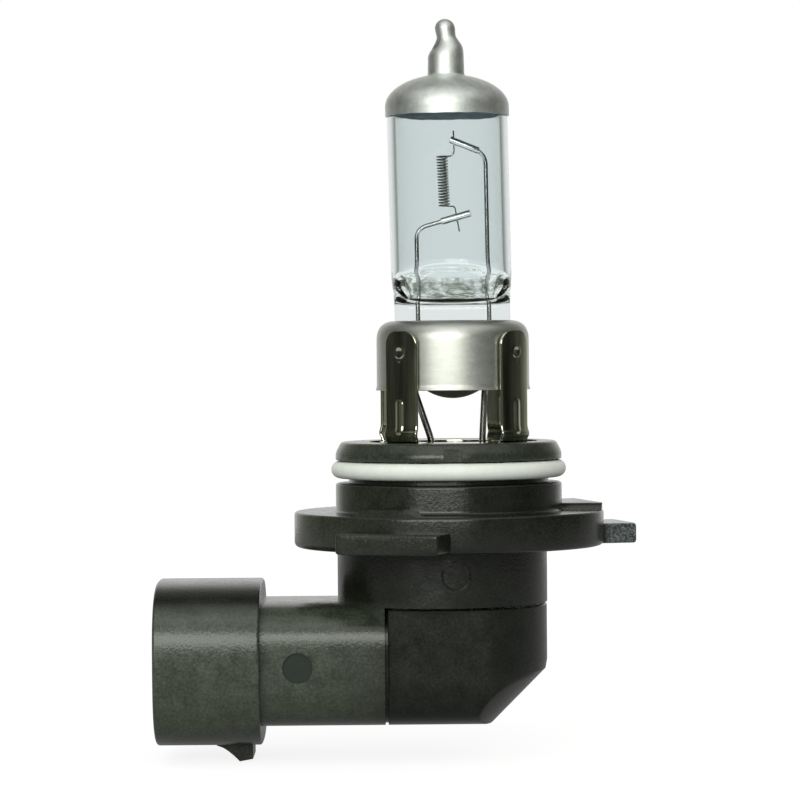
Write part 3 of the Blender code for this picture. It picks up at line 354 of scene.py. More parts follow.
spindle_corners = [(0.0, COLLAR_TOP), (COLLAR_TOP_RADIUS, COLLAR_TOP),
                   (COLLAR_RADIUS, COLLAR_TOP - COLLAR_BEVEL),
                   (COLLAR_RADIUS, COLLAR_FOOT), (GROOVE_RADIUS, COLLAR_FOOT), (GROOVE_RADIUS, NECK_TOP),
                   (NECK_RADIUS, NECK_TOP), (NECK_RADIUS, FLANGE_TOP), (FLANGE_RADIUS, FLANGE_TOP),
                   (FLANGE_RADIUS, FLANGE_FOOT), (0.0, FLANGE_FOOT)]
spindle_radii = np.array([0, 0.3, 0.5, 0.15, 0.1, 0.1, 0.3, 0.4, 0.35, 0.6, 0]) * mm
housing = turned("housing_moulding", round_corners(spindle_corners, spindle_radii))
housing_plastic = grained_finish("moulded_black_nylon", (0.0069, 0.0083, 0.0057), (0.0147, 0.0175, 0.0121),
                                 (0.17, 0.30), 0.26 * mm, 0.016 * mm)
# Painted light and shade: the finish is paled towards the plug and on the collar, and darkened on the latch.
paint_light_towards_plug(housing_plastic)
mark_plastic = grained_finish("smooth_pin_mark", (0.022, 0.030, 0.022),
                              (0.030, 0.040, 0.030), (0.5, 0.6), 0.3 * mm, 0.005 * mm, shine=0.2)
housing.data.materials.append(housing_plastic)
elbow = turned("elbow", [(BODY_RADIUS, FLANGE_TOP - 1 * mm), (BODY_RADIUS, STEM_AXIS)], x=BODY_X)
stem_outline = superellipse(STEM_HALF_WIDTH, STEM_HALF_HEIGHT, STEM_ROUNDNESS)
stem_place = (TO_RIGHT, TO_BACK, (0.0, 0.0, STEM_AXIS))
stem = bar("stem", [(STEM_END + STEM_WALL, 0.0), (SHROUD_FLOOR, 0.0)], stem_outline, *stem_place)
shroud_outline = superellipse(SHROUD_HALF_WIDTH, SHROUD_HALF_HEIGHT, SHROUD_ROUNDNESS)
shroud = bar("shroud", eased_ends(SHROUD_MOUTH, SHROUD_BACK, 0.3 * mm, 0.25 * mm), shroud_outline,
             *stem_place)
shroud_foot = STEM_AXIS - SHROUD_HALF_HEIGHT
latch_depth = shroud_foot - LATCH_FOOT
ramp = np.linspace(0.0, 1.0, 12)
latch_ramp = np.stack((LATCH_START + (LATCH_CREST - LATCH_START) * ramp,
                       shroud_foot - latch_depth * ramp ** 1.5), axis=1)
latch_root = shroud_foot + SHROUD_WALL / 2
latch_rest = [(LATCH_END, shroud_foot - latch_depth * 0.85), (LATCH_END, latch_root),
              (LATCH_START, latch_root)]
latch_points = np.vstack((latch_ramp, latch_rest))
latch_middle = latch_points.mean(axis=0)
latch = bar("latch", [(LATCH_WIDTH / 2, 0.0), (-LATCH_WIDTH / 2, 0.0)], latch_points - latch_middle,
            TO_FRONT, TO_RIGHT, (latch_middle[0], 0.0, latch_middle[1]))
lugs = []
for azimuth, width in LUGS:
    lug_outline = superellipse(width / 2, (LUG_TOP - LUG_FOOT) / 2, 14.0, 96)
    lug_stations = eased_ends(NECK_RADIUS, LUG_REACH, 0.0, 0.25 * mm)
    lugs.append(bar("lug", lug_stations, lug_outline, *polar(azimuth),
                    (0.0, 0.0, (LUG_TOP + LUG_FOOT) / 2)))
pads = []
for azimuth, width, slope in PADS:
    pad_root = 2 * FLANGE_TOP
    root_half = width / 2 + 2 * slope
    pad_corners = [(-root_half, pad_root), (root_half, pad_root), (width / 2, 0.0), (-width / 2, 0.0)]
    pad_outline = round_corners(pad_corners, np.array([0.0, 0.0, 0.5, 0.5]) * mm, closed=True)
    pad_radius = np.repeat((PAD_OUTER_RADIUS, PAD_INNER_RADIUS), 2)[:, None]
    pad_angle = math.radians(azimuth) + pad_outline[:, 0] / PAD_INNER_RADIUS
    pad_middle = 0.75 * pad_root
    end_closing = np.array((0.02, 1.0, 1.0, 0.02))[:, None]
    pad_height = pad_middle + end_closing * (pad_outline[:, 1] - pad_middle)
    pad_grid = np.stack((pad_radius * np.cos(pad_angle), pad_radius * np.sin(pad_angle), pad_height),
                        axis=-1)
    pads.append(skin("pad", pad_grid))
mark_outline = superellipse(MARK_RADIUS, MARK_RADIUS, 2.0, 48)
body_azimuth = math.degrees(math.asin((BODY_MARK[0] - BODY_X) / BODY_RADIUS)) - 90.0
body_mark, body_mark_core = (bar("pin_mark", [(BODY_RADIUS + 2 * mm, 0.0), (BODY_RADIUS - depth, 0.0)],
                                 outline,
                                 *polar(body_azimuth), (BODY_X, 0.0, BODY_MARK[1]))
                             for outline, depth in ((mark_outline, 3 * MARK_DEPTH),
                                                    (0.85 * mark_outline, 1 * mm)))
combine(body_mark, [body_mark_core], "DIFFERENCE")
combine(housing, [elbow, stem, shroud, latch] + lugs + pads, "UNION")

cover_room = bar("cover_room", [(40 * mm, 0.0), (STEM_END, 0.0)], rectangle(25 * mm, 20 * mm),
                 TO_RIGHT, TO_BACK, (0.0, 0.0, BODY_FOOT - 20 * mm))
stem_pocket = bar("stem_pocket", [(STEM_END + 5 * mm, 0.0), (TERMINAL_SEAT_END, 0.0)],
                  superellipse(STEM_HALF_WIDTH - STEM_WALL, STEM_HALF_HEIGHT - STEM_WALL, STEM_ROUNDNESS),
                  *stem_place)
plug_cavity = bar("plug_cavity", [(SHROUD_FLOOR, 0.0), (SHROUD_MOUTH - 5 * mm, 0.0)],
                  superellipse(SHROUD_HALF_WIDTH - SHROUD_WALL, SHROUD_HALF_HEIGHT - SHROUD_WALL,
                               SHROUD_ROUNDNESS), *stem_place)
slots = [bar("terminal_slot", [(TERMINAL_SEAT_END + 2 * mm, 0.0), (SHROUD_FLOOR - 2 * mm, 0.0)],
             rectangle(*TERMINAL_SLOT), TO_RIGHT, TO_BACK, (0.0, y, STEM_AXIS))
         for y in (-TERMINAL_Y, TERMINAL_Y)]
mark = bar("pin_mark", [(STEM_HALF_WIDTH + 2 * mm, 0.0), (STEM_HALF_WIDTH - MARK_DEPTH, 0.0)], mark_outline,
           *polar(-90.0), (STEM_MARK_X, 0.0, STEM_AXIS))
mark.data.materials.append(mark_plastic)
notch = bar("collar_notch", [(COLLAR_RADIUS + 2 * mm, 0.0), (COLLAR_RADIUS - COLLAR_NOTCH_DEPTH, 0.0)],
            rectangle(COLLAR_NOTCH_WIDTH / 2, (COLLAR_TOP - COLLAR_FOOT) / 2 + 0.1 * mm),
            TO_FRONT, TO_RIGHT, (COLLAR_NOTCH_X, 0.0, (COLLAR_TOP + COLLAR_FOOT) / 2))
drillings = [drilled("retainer_pocket", PREFOCUS_X, POCKET_RADIUS, POCKET_FLOOR, COLLAR_TOP + 5 * mm),
             drilled("bore", 0.0, BORE_RADIUS, STEM_AXIS, WEB_FOOT)]
drillings += [drilled("lead_hole", x, LEAD_HOLE_RADIUS, WEB_FOOT - 1 * mm, COLLAR_TOP)
              for x in LEAD_BASE_X.values()]
combine(housing, [cover_room, stem_pocket, plug_cavity, notch, mark, body_mark] + slots + drillings,
        "DIFFERENCE")
finish_piece(housing, housing_plastic, sharp=22.0)
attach(housing, "root")
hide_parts("base_housing")

# Terminals
# Two flat tinned brass blades, stamped from strip: their tips stand in the plug shroud, and each tail has
# an eyelet that its supply lead is soldered into.
TERMINAL_HALF_WIDTH = 1.4 * mm
TERMINAL_TIP_HALF_WIDTH = 1.0 * mm
TERMINAL_TIP = -27.0 * mm
TERMINAL_TIP_LENGTH = 0.8 * mm
TERMINAL_TAIL = 1.2 * mm
TERMINAL_HALF_THICKNESS = 0.4 * mm
EYELET_RADIUS = 0.42 * mm
terminal_tin = grained_finish("tinned_brass", (0.60, 0.58, 0.54), (0.76, 0.74, 0.70), (0.22, 0.36),
                              0.25 * mm, 0.004 * mm, metallic=1.0)
for node, y, lead in (("front_terminal", -TERMINAL_Y, "left"), ("rear_terminal", TERMINAL_Y, "right")):
    tail = LEAD_BASE_X[lead] + TERMINAL_TAIL
    middle = (TERMINAL_TIP + tail) / 2
    half_length = (tail - TERMINAL_TIP) / 2
    blade_corners = [(-half_length, -TERMINAL_TIP_HALF_WIDTH),
                     (TERMINAL_TIP_LENGTH - half_length, -TERMINAL_HALF_WIDTH),
                     (half_length, -TERMINAL_HALF_WIDTH), (half_length, TERMINAL_HALF_WIDTH),
                     (TERMINAL_TIP_LENGTH - half_length, TERMINAL_HALF_WIDTH),
                     (-half_length, TERMINAL_TIP_HALF_WIDTH)]
    blade_outline = round_corners(blade_corners, 0.3 * mm, closed=True)
    blade_levels = eased_ends(-TERMINAL_HALF_THICKNESS, TERMINAL_HALF_THICKNESS, 0.1 * mm, 0.1 * mm)
    blade = bar(node + "_blade", blade_levels, blade_outline, UPWARD, TO_RIGHT, (middle, y, STEM_AXIS))
    eyelet = bar("eyelet", [(2 * mm, 0.0), (-2 * mm, 0.0)],
                 superellipse(EYELET_RADIUS, EYELET_RADIUS, 2.0, 32),
                 UPWARD, TO_RIGHT, (LEAD_BASE_X[lead], y, STEM_AXIS))
    combine(blade, [eyelet], "DIFFERENCE")
    finish_piece(blade, terminal_tin)
    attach(blade, "root")
    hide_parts(node)

# Lead sealant
# A dark sealing compound poured into the base bore round both leads, which keeps damp out of the lamp.
SEALANT_FOOT, SEALANT_TOP = (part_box("lead_sealant")[k].z for k in (0, 1))
SEALANT_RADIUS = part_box("lead_sealant")[1].x
sealant = turned("sealant_disc", round_corners([(0.0, SEALANT_TOP), (SEALANT_RADIUS, SEALANT_TOP),
                                                (SEALANT_RADIUS, SEALANT_FOOT), (0.0, SEALANT_FOOT)],
                                               0.3 * mm))
combine(sealant, [drilled("lead_way", x, LEAD_HOLE_RADIUS, SEALANT_FOOT - 1 * mm, SEALANT_TOP + 1 * mm)
                  for x in LEAD_BASE_X.values()], "DIFFERENCE")
sealing_compound = grained_finish("sealing_compound", (0.05, 0.05, 0.05), (0.10, 0.10, 0.10), (0.5, 0.7),
                                  0.3 * mm, 0.02 * mm)
finish_piece(sealant, sealing_compound)
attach(sealant, "root")
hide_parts("lead_sealant")

# Outer leads
# Two drawn nickel-plated wires: out of the cement under the glass foot, down through the web and the
# sealant, then bent over to the eyelets of the terminals.
OUTER_LEAD_RADIUS = 0.325 * mm
OUTER_LEAD_TOP = 12.2 * mm
CUP_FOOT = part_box("capsule_cup")[0].z
LEAD_BEND_TOP = 5.7 * mm
LEAD_BEND_LOW = -1.6 * mm
LEAD_DROP_TOP = STEM_AXIS + 2.8 * mm
LEAD_END = STEM_AXIS - 1.2 * mm
LEAD_EXIT_X = {"left": -3.3 * mm, "right": 3.6 * mm}
LEAD_FOOT_X = {"left": -3.2 * mm, "right": 4.15 * mm}


def wire(name, path, radius, aside, sides=20):
    """Round wire: a circle carried along a path, in the plane of two unit vectors across its run. The first
    is the run crossed with `aside`, a direction that the wire never follows."""
    run = np.gradient(path, axis=0)
    run /= np.linalg.norm(run, axis=1)[:, None]
    first = np.cross(run, aside)
    first /= np.linalg.norm(first, axis=1)[:, None]
    second = np.cross(first, run)
    angle = np.linspace(0.0, 2 * math.pi, sides, endpoint=False)[None, :, None]
    grid = path[:, None] + radius * (np.cos(angle) * first[:, None] + np.sin(angle) * second[:, None])
    return skin(name, grid)


lead_nickel = grained_finish("drawn_nickel", (0.34, 0.33, 0.32), (0.46, 0.45, 0.43), (0.14, 0.24),
                             0.12 * mm, 0.003 * mm, metallic=1.0, stretch=(1, 1, 0.1))
for side, y in (("left", -TERMINAL_Y), ("right", TERMINAL_Y)):
    base_x = LEAD_BASE_X[side]
    lead_corners = [(LEAD_FOOT_X[side], 0.0, OUTER_LEAD_TOP), (LEAD_EXIT_X[side], 0.0, CUP_FOOT),
                    (base_x, 0.0, LEAD_BEND_TOP), (base_x, 0.0, LEAD_BEND_LOW),
                    (base_x, y, LEAD_DROP_TOP), (base_x, y, LEAD_END)]
    lead = wire(side + "_supply_wire", round_corners(lead_corners, 1.2 * mm, steps=10), OUTER_LEAD_RADIUS,
                TO_RIGHT)
    finish_piece(lead, lead_nickel)
    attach(lead, "root")
    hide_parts(side + "_outer_lead")

# Rear cover
# A separate black moulding clipped over the lead chamber: upright cylinder behind, flat sides, and its
# lower right corner cut off by a slightly crowned slope.
COVER_RADIUS = 10.2 * mm
COVER_HALF_WIDTH = 8.8 * mm
COVER_LEFT, COVER_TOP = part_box("rear_cover")[0].x, BODY_FOOT - 0.19 * mm
COVER_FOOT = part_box("rear_cover")[0].z
COVER_WALL = 1.6 * mm
COVER_CUT = 5.35 * mm
COVER_CROWN_RADIUS = 16.5 * mm
COVER_SEAM_DEPTH = 0.5 * mm
COVER_SEAM_FOOT_DEPTH = 0.2 * mm
COVER_CRISPNESS = 160.0
COVER_SIDE_SOFTNESS = 26.0
COVER_RIM_CHAMFER = 0.12 * mm


def cover_body(name, inset, left, top):
    """Upright body round the axis x = BODY_X. At each height its reach in a direction is a soft least of the
    reaches to the cylinder, the sides, the left end and the crowned slope: (sum of reach^-p)^(-1/p). The
    sides run softly into the cylinder. They are flat above the stem's axis and draw in below it like the
    stem's own section. The upper rim is chamfered."""

    def soft_least(reaches, crispness):
        """Soft least of several reaches."""
        reaches = np.stack(np.broadcast_arrays(*reaches))
        least = reaches.min(axis=0)
        return least * ((reaches / least) ** -crispness).sum(axis=0) ** (-1 / crispness)

    foot = COVER_FOOT + inset
    turn = np.linspace(0.0, math.pi / 2, 80)[1:-1]
    half_height = STEM_AXIS - foot
    height = np.r_[top, np.linspace(top - COVER_RIM_CHAMFER, STEM_AXIS, 60),
                   STEM_AXIS - half_height * np.sin(turn) ** (2 / STEM_ROUNDNESS)][:, None]
    below = np.clip((STEM_AXIS - height) / half_height, 0.0, 1.0)
    half_width = (COVER_HALF_WIDTH - inset) * (1 - below ** STEM_ROUNDNESS) ** (1 / STEM_ROUNDNESS)
    angle = np.linspace(0.0, 2 * math.pi, 480, endpoint=False)[None]
    c, s = np.cos(angle), np.sin(angle)
    far = 1.0
    cylinder = np.full_like(c, COVER_RADIUS - inset)
    sides = half_width / np.maximum(np.abs(s), 1e-3)
    left_end = np.where(c < -1e-3, (left - BODY_X) / np.minimum(c, -1e-3), far)
    crown = COVER_CROWN_RADIUS - inset
    crest_x = BODY_X + COVER_RADIUS - COVER_CUT / 2
    crest_z = COVER_FOOT + COVER_CUT / 2
    crown_drop = COVER_CROWN_RADIUS / math.sqrt(2)
    axis_x = crest_x - crown_drop + (height - crest_z - crown_drop) - BODY_X
    a = c ** 2 / 2 + s ** 2
    b = -axis_x * c
    k = axis_x ** 2 / 2 - crown ** 2
    slope = (-b + np.sqrt(np.maximum(b ** 2 - 4 * a * k, 0.0))) / (2 * a)
    around = soft_least((cylinder, sides), COVER_SIDE_SOFTNESS)
    reach = soft_least((around, left_end, slope), COVER_CRISPNESS)
    reach = reach - np.clip(COVER_RIM_CHAMFER - (top - height), 0.0, None)
    grid = np.stack(np.broadcast_arrays(BODY_X + reach * c, reach * s, height), axis=-1)
    return skin(name, grid)


cover = cover_body("cover_moulding", 0.0, COVER_LEFT, COVER_TOP)
chamber = cover_body("lead_chamber", COVER_WALL, COVER_LEFT - 3 * mm, COVER_TOP + 3 * mm)
combine(cover, [chamber], "DIFFERENCE")
seam_outline = superellipse(STEM_HALF_WIDTH - COVER_SEAM_DEPTH,
                            STEM_HALF_HEIGHT - COVER_SEAM_FOOT_DEPTH, STEM_ROUNDNESS)
seam_land = bar("seam_land", [(COVER_LEFT + COVER_SEAM_DEPTH, 0.0), (STEM_END + 0.02 * mm, 0.0)],
                seam_outline, *stem_place)
seam_bore = bar("seam_bore", [(COVER_LEFT + 2 * mm, 1.3 * mm), (STEM_END - 2 * mm, 1.3 * mm)], seam_outline,
                *stem_place)
combine(seam_land, [seam_bore], "DIFFERENCE")
combine(cover, [seam_land], "UNION")
cover_plastic = grained_finish("cover_black_nylon", (0.0058, 0.0072, 0.0050), (0.0150, 0.0184, 0.0128),
                               (0.18, 0.30), 0.26 * mm, 0.014 * mm, shine=0.3)
finish_piece(cover, cover_plastic)
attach(cover, "root")
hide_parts("rear_cover")

# Sealing ring
# A round ring of ivory silicone, stretched over the collar into its groove.
SEAL_LOW, SEAL_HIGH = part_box("sealing_ring")
SEAL_SECTION = (SEAL_HIGH.z - SEAL_LOW.z) / 2
SEAL_MIDDLE = SEAL_HIGH.x - SEAL_SECTION
section_turn = np.linspace(math.pi / 2, -1.5 * math.pi, 32, endpoint=False)
seal_profile = np.stack((SEAL_MIDDLE + SEAL_SECTION * np.cos(section_turn),
                         (SEAL_LOW.z + SEAL_HIGH.z) / 2 + SEAL_SECTION * np.sin(section_turn)), axis=1)
seal = turned("silicone_ring", seal_profile, ring=True)
silicone = grained_finish("ivory_silicone", (0.86, 0.87, 0.83), (0.94, 0.95, 0.91), (0.45, 0.6), 0.2 * mm,
                          0.006 * mm)
finish_piece(seal, silicone)
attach(seal, "root")
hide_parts("sealing_ring")

# Capsule retainer
# A polished stainless stamping: a flat ring on the collar with four legs bent up round the cup. Each leg
# has a stiffening rib above its foot and the crater of the spot weld that holds the cup.
LEG_THICKNESS = 0.35 * mm
LEG_INNER_RADIUS = 7.67 * mm
LEG_RADIUS = LEG_INNER_RADIUS + LEG_THICKNESS / 2
LEG_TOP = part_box("capsule_retainer")[1].z
LEG_HALF_WIDTH = 2.0 * mm
LEG_CORNER = 1.3 * mm
LEG_AZIMUTHS = (-131.0, -41.0, 49.0, 139.0)
RING_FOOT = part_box("capsule_retainer")[0].z
RING_BORE = 4.8 * mm
RING_RADIUS = 7.2 * mm
LEG_BEND = 0.8 * mm
RIB_HALF_WIDTH = 0.5 * mm
RIB_HEIGHT = 0.16 * mm
RIB_LOW, RIB_HIGH = 7.4 * mm, 9.8 * mm
WELD_Z = 14.8 * mm
WELD_RADIUS = 0.48 * mm
BEAD_Z = 14.0 * mm
FLARE_TOP = 7.8 * mm


def leg_relief(sideways, height):
    """Height of the pressed relief over a leg: a rib with round ends, a weld crater with a raised rim, and a
    small bead under it."""
    past_end = np.maximum(np.maximum(RIB_LOW - height, height - RIB_HIGH), 0.0)
    from_rib = np.hypot(sideways, past_end) / RIB_HALF_WIDTH
    rib = RIB_HEIGHT * np.maximum(1 - from_rib ** 1.4, 0.0)
    from_weld = np.hypot(sideways, height - WELD_Z)
    rim = 0.03 * mm * np.exp(-((from_weld - WELD_RADIUS) / (0.14 * mm)) ** 2)
    crater = -0.03 * mm * np.exp(-(from_weld / (0.28 * mm)) ** 2)
    bead = 0.02 * mm * np.exp(-(np.hypot(sideways, height - BEAD_Z) / (0.18 * mm)) ** 2)
    flare = 0.18 * mm * np.clip((FLARE_TOP - height) / (0.8 * mm), 0.0, 1.0) ** 2
    return rib + rim + crater + bead + flare


def retainer_leg(name, azimuth):
    """One leg: a flat strip with round edges carried down its upright, round its bend and in along the ring,
    and wrapped on the cylinder of the leg. Its half width falls in quarter circles at the top corners."""
    bend_z = RING_FOOT + LEG_THICKNESS / 2
    corners = [(LEG_RADIUS, LEG_TOP), (LEG_RADIUS, bend_z), (RING_RADIUS - 0.6 * mm, bend_z)]
    easing = LEG_CORNER * (1 - np.cos(np.linspace(0.0, math.pi / 2, 12)))
    upright = np.r_[LEG_TOP - easing, np.linspace(LEG_TOP - LEG_CORNER, bend_z + LEG_BEND, 110)[1:]]
    turned_foot = round_corners(corners, LEG_BEND, steps=12)[1:]
    path = np.vstack((np.stack((np.full_like(upright, LEG_RADIUS), upright), axis=1), turned_foot[1:]))
    run = np.gradient(path, axis=0)
    run /= np.linalg.norm(run, axis=1)[:, None]
    outward = np.stack((-run[:, 1], run[:, 0]), axis=1)
    over_corner = np.clip(path[:, 1] - (LEG_TOP - LEG_CORNER), 0.0, LEG_CORNER)
    half_width = LEG_HALF_WIDTH - LEG_CORNER + np.sqrt(LEG_CORNER ** 2 - over_corner ** 2)
    side = np.linspace(1.0, -1.0, 56)
    end = np.linspace(math.pi / 2, -math.pi / 2, 9)[1:-1]
    flat = np.r_[side, np.full(len(end), -1.0), side[::-1], np.full(len(end), 1.0)]
    round_u = np.r_[np.zeros(56), -np.cos(end), np.zeros(56), np.cos(end)]
    round_w = np.r_[np.ones(56), np.sin(end), -np.ones(56), -np.sin(end)]
    radius = LEG_THICKNESS / 2
    sideways = flat[None] * (half_width[:, None] - radius) + round_u[None] * radius
    relief = leg_relief(sideways, path[:, 1:])
    raised = round_w[None] * radius + relief * (path[:, 1:] > RING_FOOT + LEG_BEND)
    reach = path[:, :1] + outward[:, :1] * raised
    height = path[:, 1:] + outward[:, 1:] * raised
    angle = math.radians(azimuth) - sideways / LEG_RADIUS
    grid = np.stack((PREFOCUS_X + reach * np.cos(angle), reach * np.sin(angle), height), axis=-1)
    return skin(name, grid)


ring_top = RING_FOOT + LEG_THICKNESS
ring_corners = [(RING_RADIUS, ring_top), (RING_RADIUS, RING_FOOT), (RING_BORE, RING_FOOT),
                (RING_BORE, ring_top)]
retainer = turned("retainer_stamping", round_corners(ring_corners, 0.08 * mm, steps=3, closed=True),
                  x=PREFOCUS_X, ring=True)
combine(retainer, [retainer_leg("leg", azimuth) for azimuth in LEG_AZIMUTHS], "UNION")
# The steel's colour wanders from near black to pale olive in long upright streaks: partly its polishing
# grain, partly a painted reflection of the surroundings the legs mirror.
steel_grain_and_painted_reflection = grained_finish("polished_stainless", (0.20, 0.20, 0.15), (0.86, 0.87, 0.68), (0.08, 0.14),
                                1.1 * mm, 0.002 * mm, metallic=1.0, stretch=(1, 1, 0.1))
finish_piece(retainer, steel_grain_and_painted_reflection)
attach(retainer, "root")
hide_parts("capsule_retainer")

# Capsule cup
# A deep-drawn steel cup, satin nickel plated, that stands upside down over the glass foot: round shoulder,
# straight wall and a small flared lip, with a slot in its top for the glass.
CUP_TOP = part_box("capsule_cup")[1].z
CUP_RADIUS = 7.45 * mm
CUP_WALL = 0.4 * mm
CUP_LIP = 0.12 * mm
CUP_LIP_HEIGHT = 0.4 * mm
CUP_SHOULDER = 1.9 * mm
PRESS_HALF_WIDTH = 5.65 * mm
PRESS_HALF_THICKNESS = 2.2 * mm
PRESS_ROUNDNESS = 8.0
cup_corners = [(0.0, CUP_TOP), (CUP_RADIUS, CUP_TOP), (CUP_RADIUS, CUP_FOOT + CUP_LIP_HEIGHT),
               (CUP_RADIUS + CUP_LIP, CUP_FOOT), (CUP_RADIUS + CUP_LIP - CUP_WALL, CUP_FOOT),
               (CUP_RADIUS - CUP_WALL, CUP_FOOT + CUP_LIP_HEIGHT),
               (CUP_RADIUS - CUP_WALL, CUP_TOP - CUP_WALL),
               (0.0, CUP_TOP - CUP_WALL)]
cup_radii = np.array([0, CUP_SHOULDER, 0.3 * mm, 0.1 * mm, 0.1 * mm, 0.3 * mm, CUP_SHOULDER - CUP_WALL, 0])
cup = turned("plated_cup", round_corners(cup_corners, cup_radii, steps=10), x=PREFOCUS_X)
slot_outline = superellipse(PRESS_HALF_WIDTH + 0.12 * mm, PRESS_HALF_THICKNESS + 0.12 * mm, 12.0)
cup_slot = bar("cup_slot", [(CUP_TOP + 2 * mm, 0.0), (CUP_TOP - 2 * mm, 0.0)], slot_outline,
               UPWARD, TO_RIGHT, (PREFOCUS_X, 0.0, 0.0))
combine(cup, [cup_slot], "DIFFERENCE")
satin_nickel = grained_finish("satin_nickel", (0.54, 0.55, 0.51), (0.65, 0.66, 0.62), (0.36, 0.46),
                              0.08 * mm, 0.002 * mm, metallic=1.0, stretch=(0.25, 0.25, 1.0))
finish_piece(cup, satin_nickel)
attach(cup, "root")
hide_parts("capsule_cup")

# Cement plug
# Grey lamp cement cast round the glass foot inside the cup; its round belly hangs out under the lip.
CEMENT_FOOT, CEMENT_TOP = (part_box("cement_plug")[k].z for k in (0, 1))
CEMENT_RADIUS = 6.95 * mm
CEMENT_EDGE = CUP_FOOT + 0.4 * mm
CEMENT_BELLY_RADIUS = 4.8 * mm
PRESS_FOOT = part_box("glass_envelope")[0].z
belly_centre = CEMENT_FOOT + CEMENT_BELLY_RADIUS
belly_start = math.acos((belly_centre - CEMENT_EDGE) / CEMENT_BELLY_RADIUS)
belly_turn = np.linspace(belly_start, 0.0, 16)
belly = np.stack((CEMENT_BELLY_RADIUS * np.sin(belly_turn),
                  belly_centre - CEMENT_BELLY_RADIUS * np.cos(belly_turn)), axis=1)
cement = turned("cement_casting", np.vstack(([(0.0, CEMENT_TOP), (CEMENT_RADIUS, CEMENT_TOP),
                                              (CEMENT_RADIUS, CEMENT_EDGE)], belly)),
                x=PREFOCUS_X)
press_room = bar("press_room", [(CEMENT_TOP + 2 * mm, 0.0), (PRESS_FOOT - 0.1 * mm, 0.0)], slot_outline,
                 UPWARD, TO_RIGHT, (PREFOCUS_X, 0.0, 0.0))
lead_ways = []
for side in ("left", "right"):
    way_corners = [(LEAD_FOOT_X[side], 0.0, OUTER_LEAD_TOP + 1 * mm), (LEAD_EXIT_X[side], 0.0, CUP_FOOT),
                   (LEAD_BASE_X[side], 0.0, LEAD_BEND_TOP)]
    lead_ways.append(wire("lead_way", round_corners(way_corners, 1.2 * mm, steps=10),
                          OUTER_LEAD_RADIUS + 0.06 * mm, TO_BACK))
combine(cement, [press_room] + lead_ways, "DIFFERENCE")
lamp_cement = grained_finish("lamp_cement", (0.16, 0.165, 0.145), (0.30, 0.30, 0.27), (0.5, 0.7), 0.2 * mm,
                             0.03 * mm)
finish_piece(cement, lamp_cement)
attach(cement, "root")
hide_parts("cement_plug")

# Inner leads and leg clamps
# Two molybdenum rods sealed into the glass foot: the long one carries the top of the filament, the short
# one its foot. A bright sleeve is crimped over each bent end and grips a filament leg.
INNER_LEAD_RADIUS = 0.21 * mm
CLAMP_RADIUS = 0.36 * mm
CLAMP_LENGTH = 3.0 * mm
CLAMP_OPEN_END = 0.5 * mm
CAPSULE_LEADS = {
    "long": {"x": PREFOCUS_X + 3.65 * mm, "open_x": PREFOCUS_X + 0.2 * mm, "open_z": 35.5 * mm,
             "tilt": 22.2, "towards": 1.0},
    "short": {"x": PREFOCUS_X - 3.3 * mm, "open_x": PREFOCUS_X + 2.05 * mm, "open_z": 28.3 * mm,
              "tilt": 15.4, "towards": -1.0},
}
CAPSULE_LEAN = math.tan(math.radians(1.0))
LEAN_START = CUP_TOP


def lean(piece):
    """Leans a piece of the capsule to the left above the cup's top: x falls by lean times height."""
    points = np.empty(len(piece.data.vertices) * 3)
    piece.data.vertices.foreach_get("co", points)
    points[0::3] -= CAPSULE_LEAN * np.maximum(points[2::3] - LEAN_START, 0.0)
    piece.data.vertices.foreach_set("co", points)
    piece.data.update()


lead_molybdenum = grained_finish("drawn_molybdenum", (0.46, 0.46, 0.46), (0.60, 0.60, 0.60), (0.16, 0.26),
                                 0.1 * mm, 0.003 * mm, metallic=1.0, stretch=(1, 1, 0.1))
clamp_bright = grained_finish("bright_nickel_sleeve", (0.72, 0.72, 0.72), (0.84, 0.84, 0.83), (0.14, 0.24),
                              0.15 * mm, 0.003 * mm, metallic=1.0)
for (kind, lead), clamp_node in zip(CAPSULE_LEADS.items(), ("upper_leg_clamp", "lower_leg_clamp")):
    tilt = math.radians(lead["tilt"])
    along = np.array((lead["towards"] * math.cos(tilt), 0.0, -math.sin(tilt)))
    open_end = np.array((lead["open_x"], 0.0, lead["open_z"]))
    corner = open_end + along * abs((lead["x"] - lead["open_x"]) / along[0])
    rod_corners = [(lead["x"], 0.0, PRESS_FOOT - 0.2 * mm), corner, open_end + along * CLAMP_OPEN_END]
    rod = wire(kind + "_capsule_lead", round_corners(rod_corners, 1.1 * mm, steps=14), INNER_LEAD_RADIUS,
               TO_BACK)
    lean(rod)
    finish_piece(rod, lead_molybdenum)
    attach(rod, "root")
    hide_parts(kind + "_inner_lead")
    bore = INNER_LEAD_RADIUS + 0.03 * mm
    sleeve_corners = [(CLAMP_RADIUS, CLAMP_LENGTH), (CLAMP_RADIUS, 0.0), (bore, 0.0), (bore, CLAMP_LENGTH)]
    sleeve_profile = round_corners(sleeve_corners, 0.04 * mm, steps=3, closed=True)
    angle = np.linspace(0.0, 2 * math.pi, 32, endpoint=False)[None, :, None]
    across = np.cross(along, TO_BACK)
    spokes = np.cos(angle) * across + np.sin(angle) * np.cross(along, across)
    sleeve = skin(clamp_node + "_sleeve", open_end + sleeve_profile[:, 1, None, None] * along
                  + sleeve_profile[:, 0, None, None] * spokes, ring=True)
    lean(sleeve)
    finish_piece(sleeve, clamp_bright)
    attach(sleeve, "root")
    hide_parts(clamp_node)

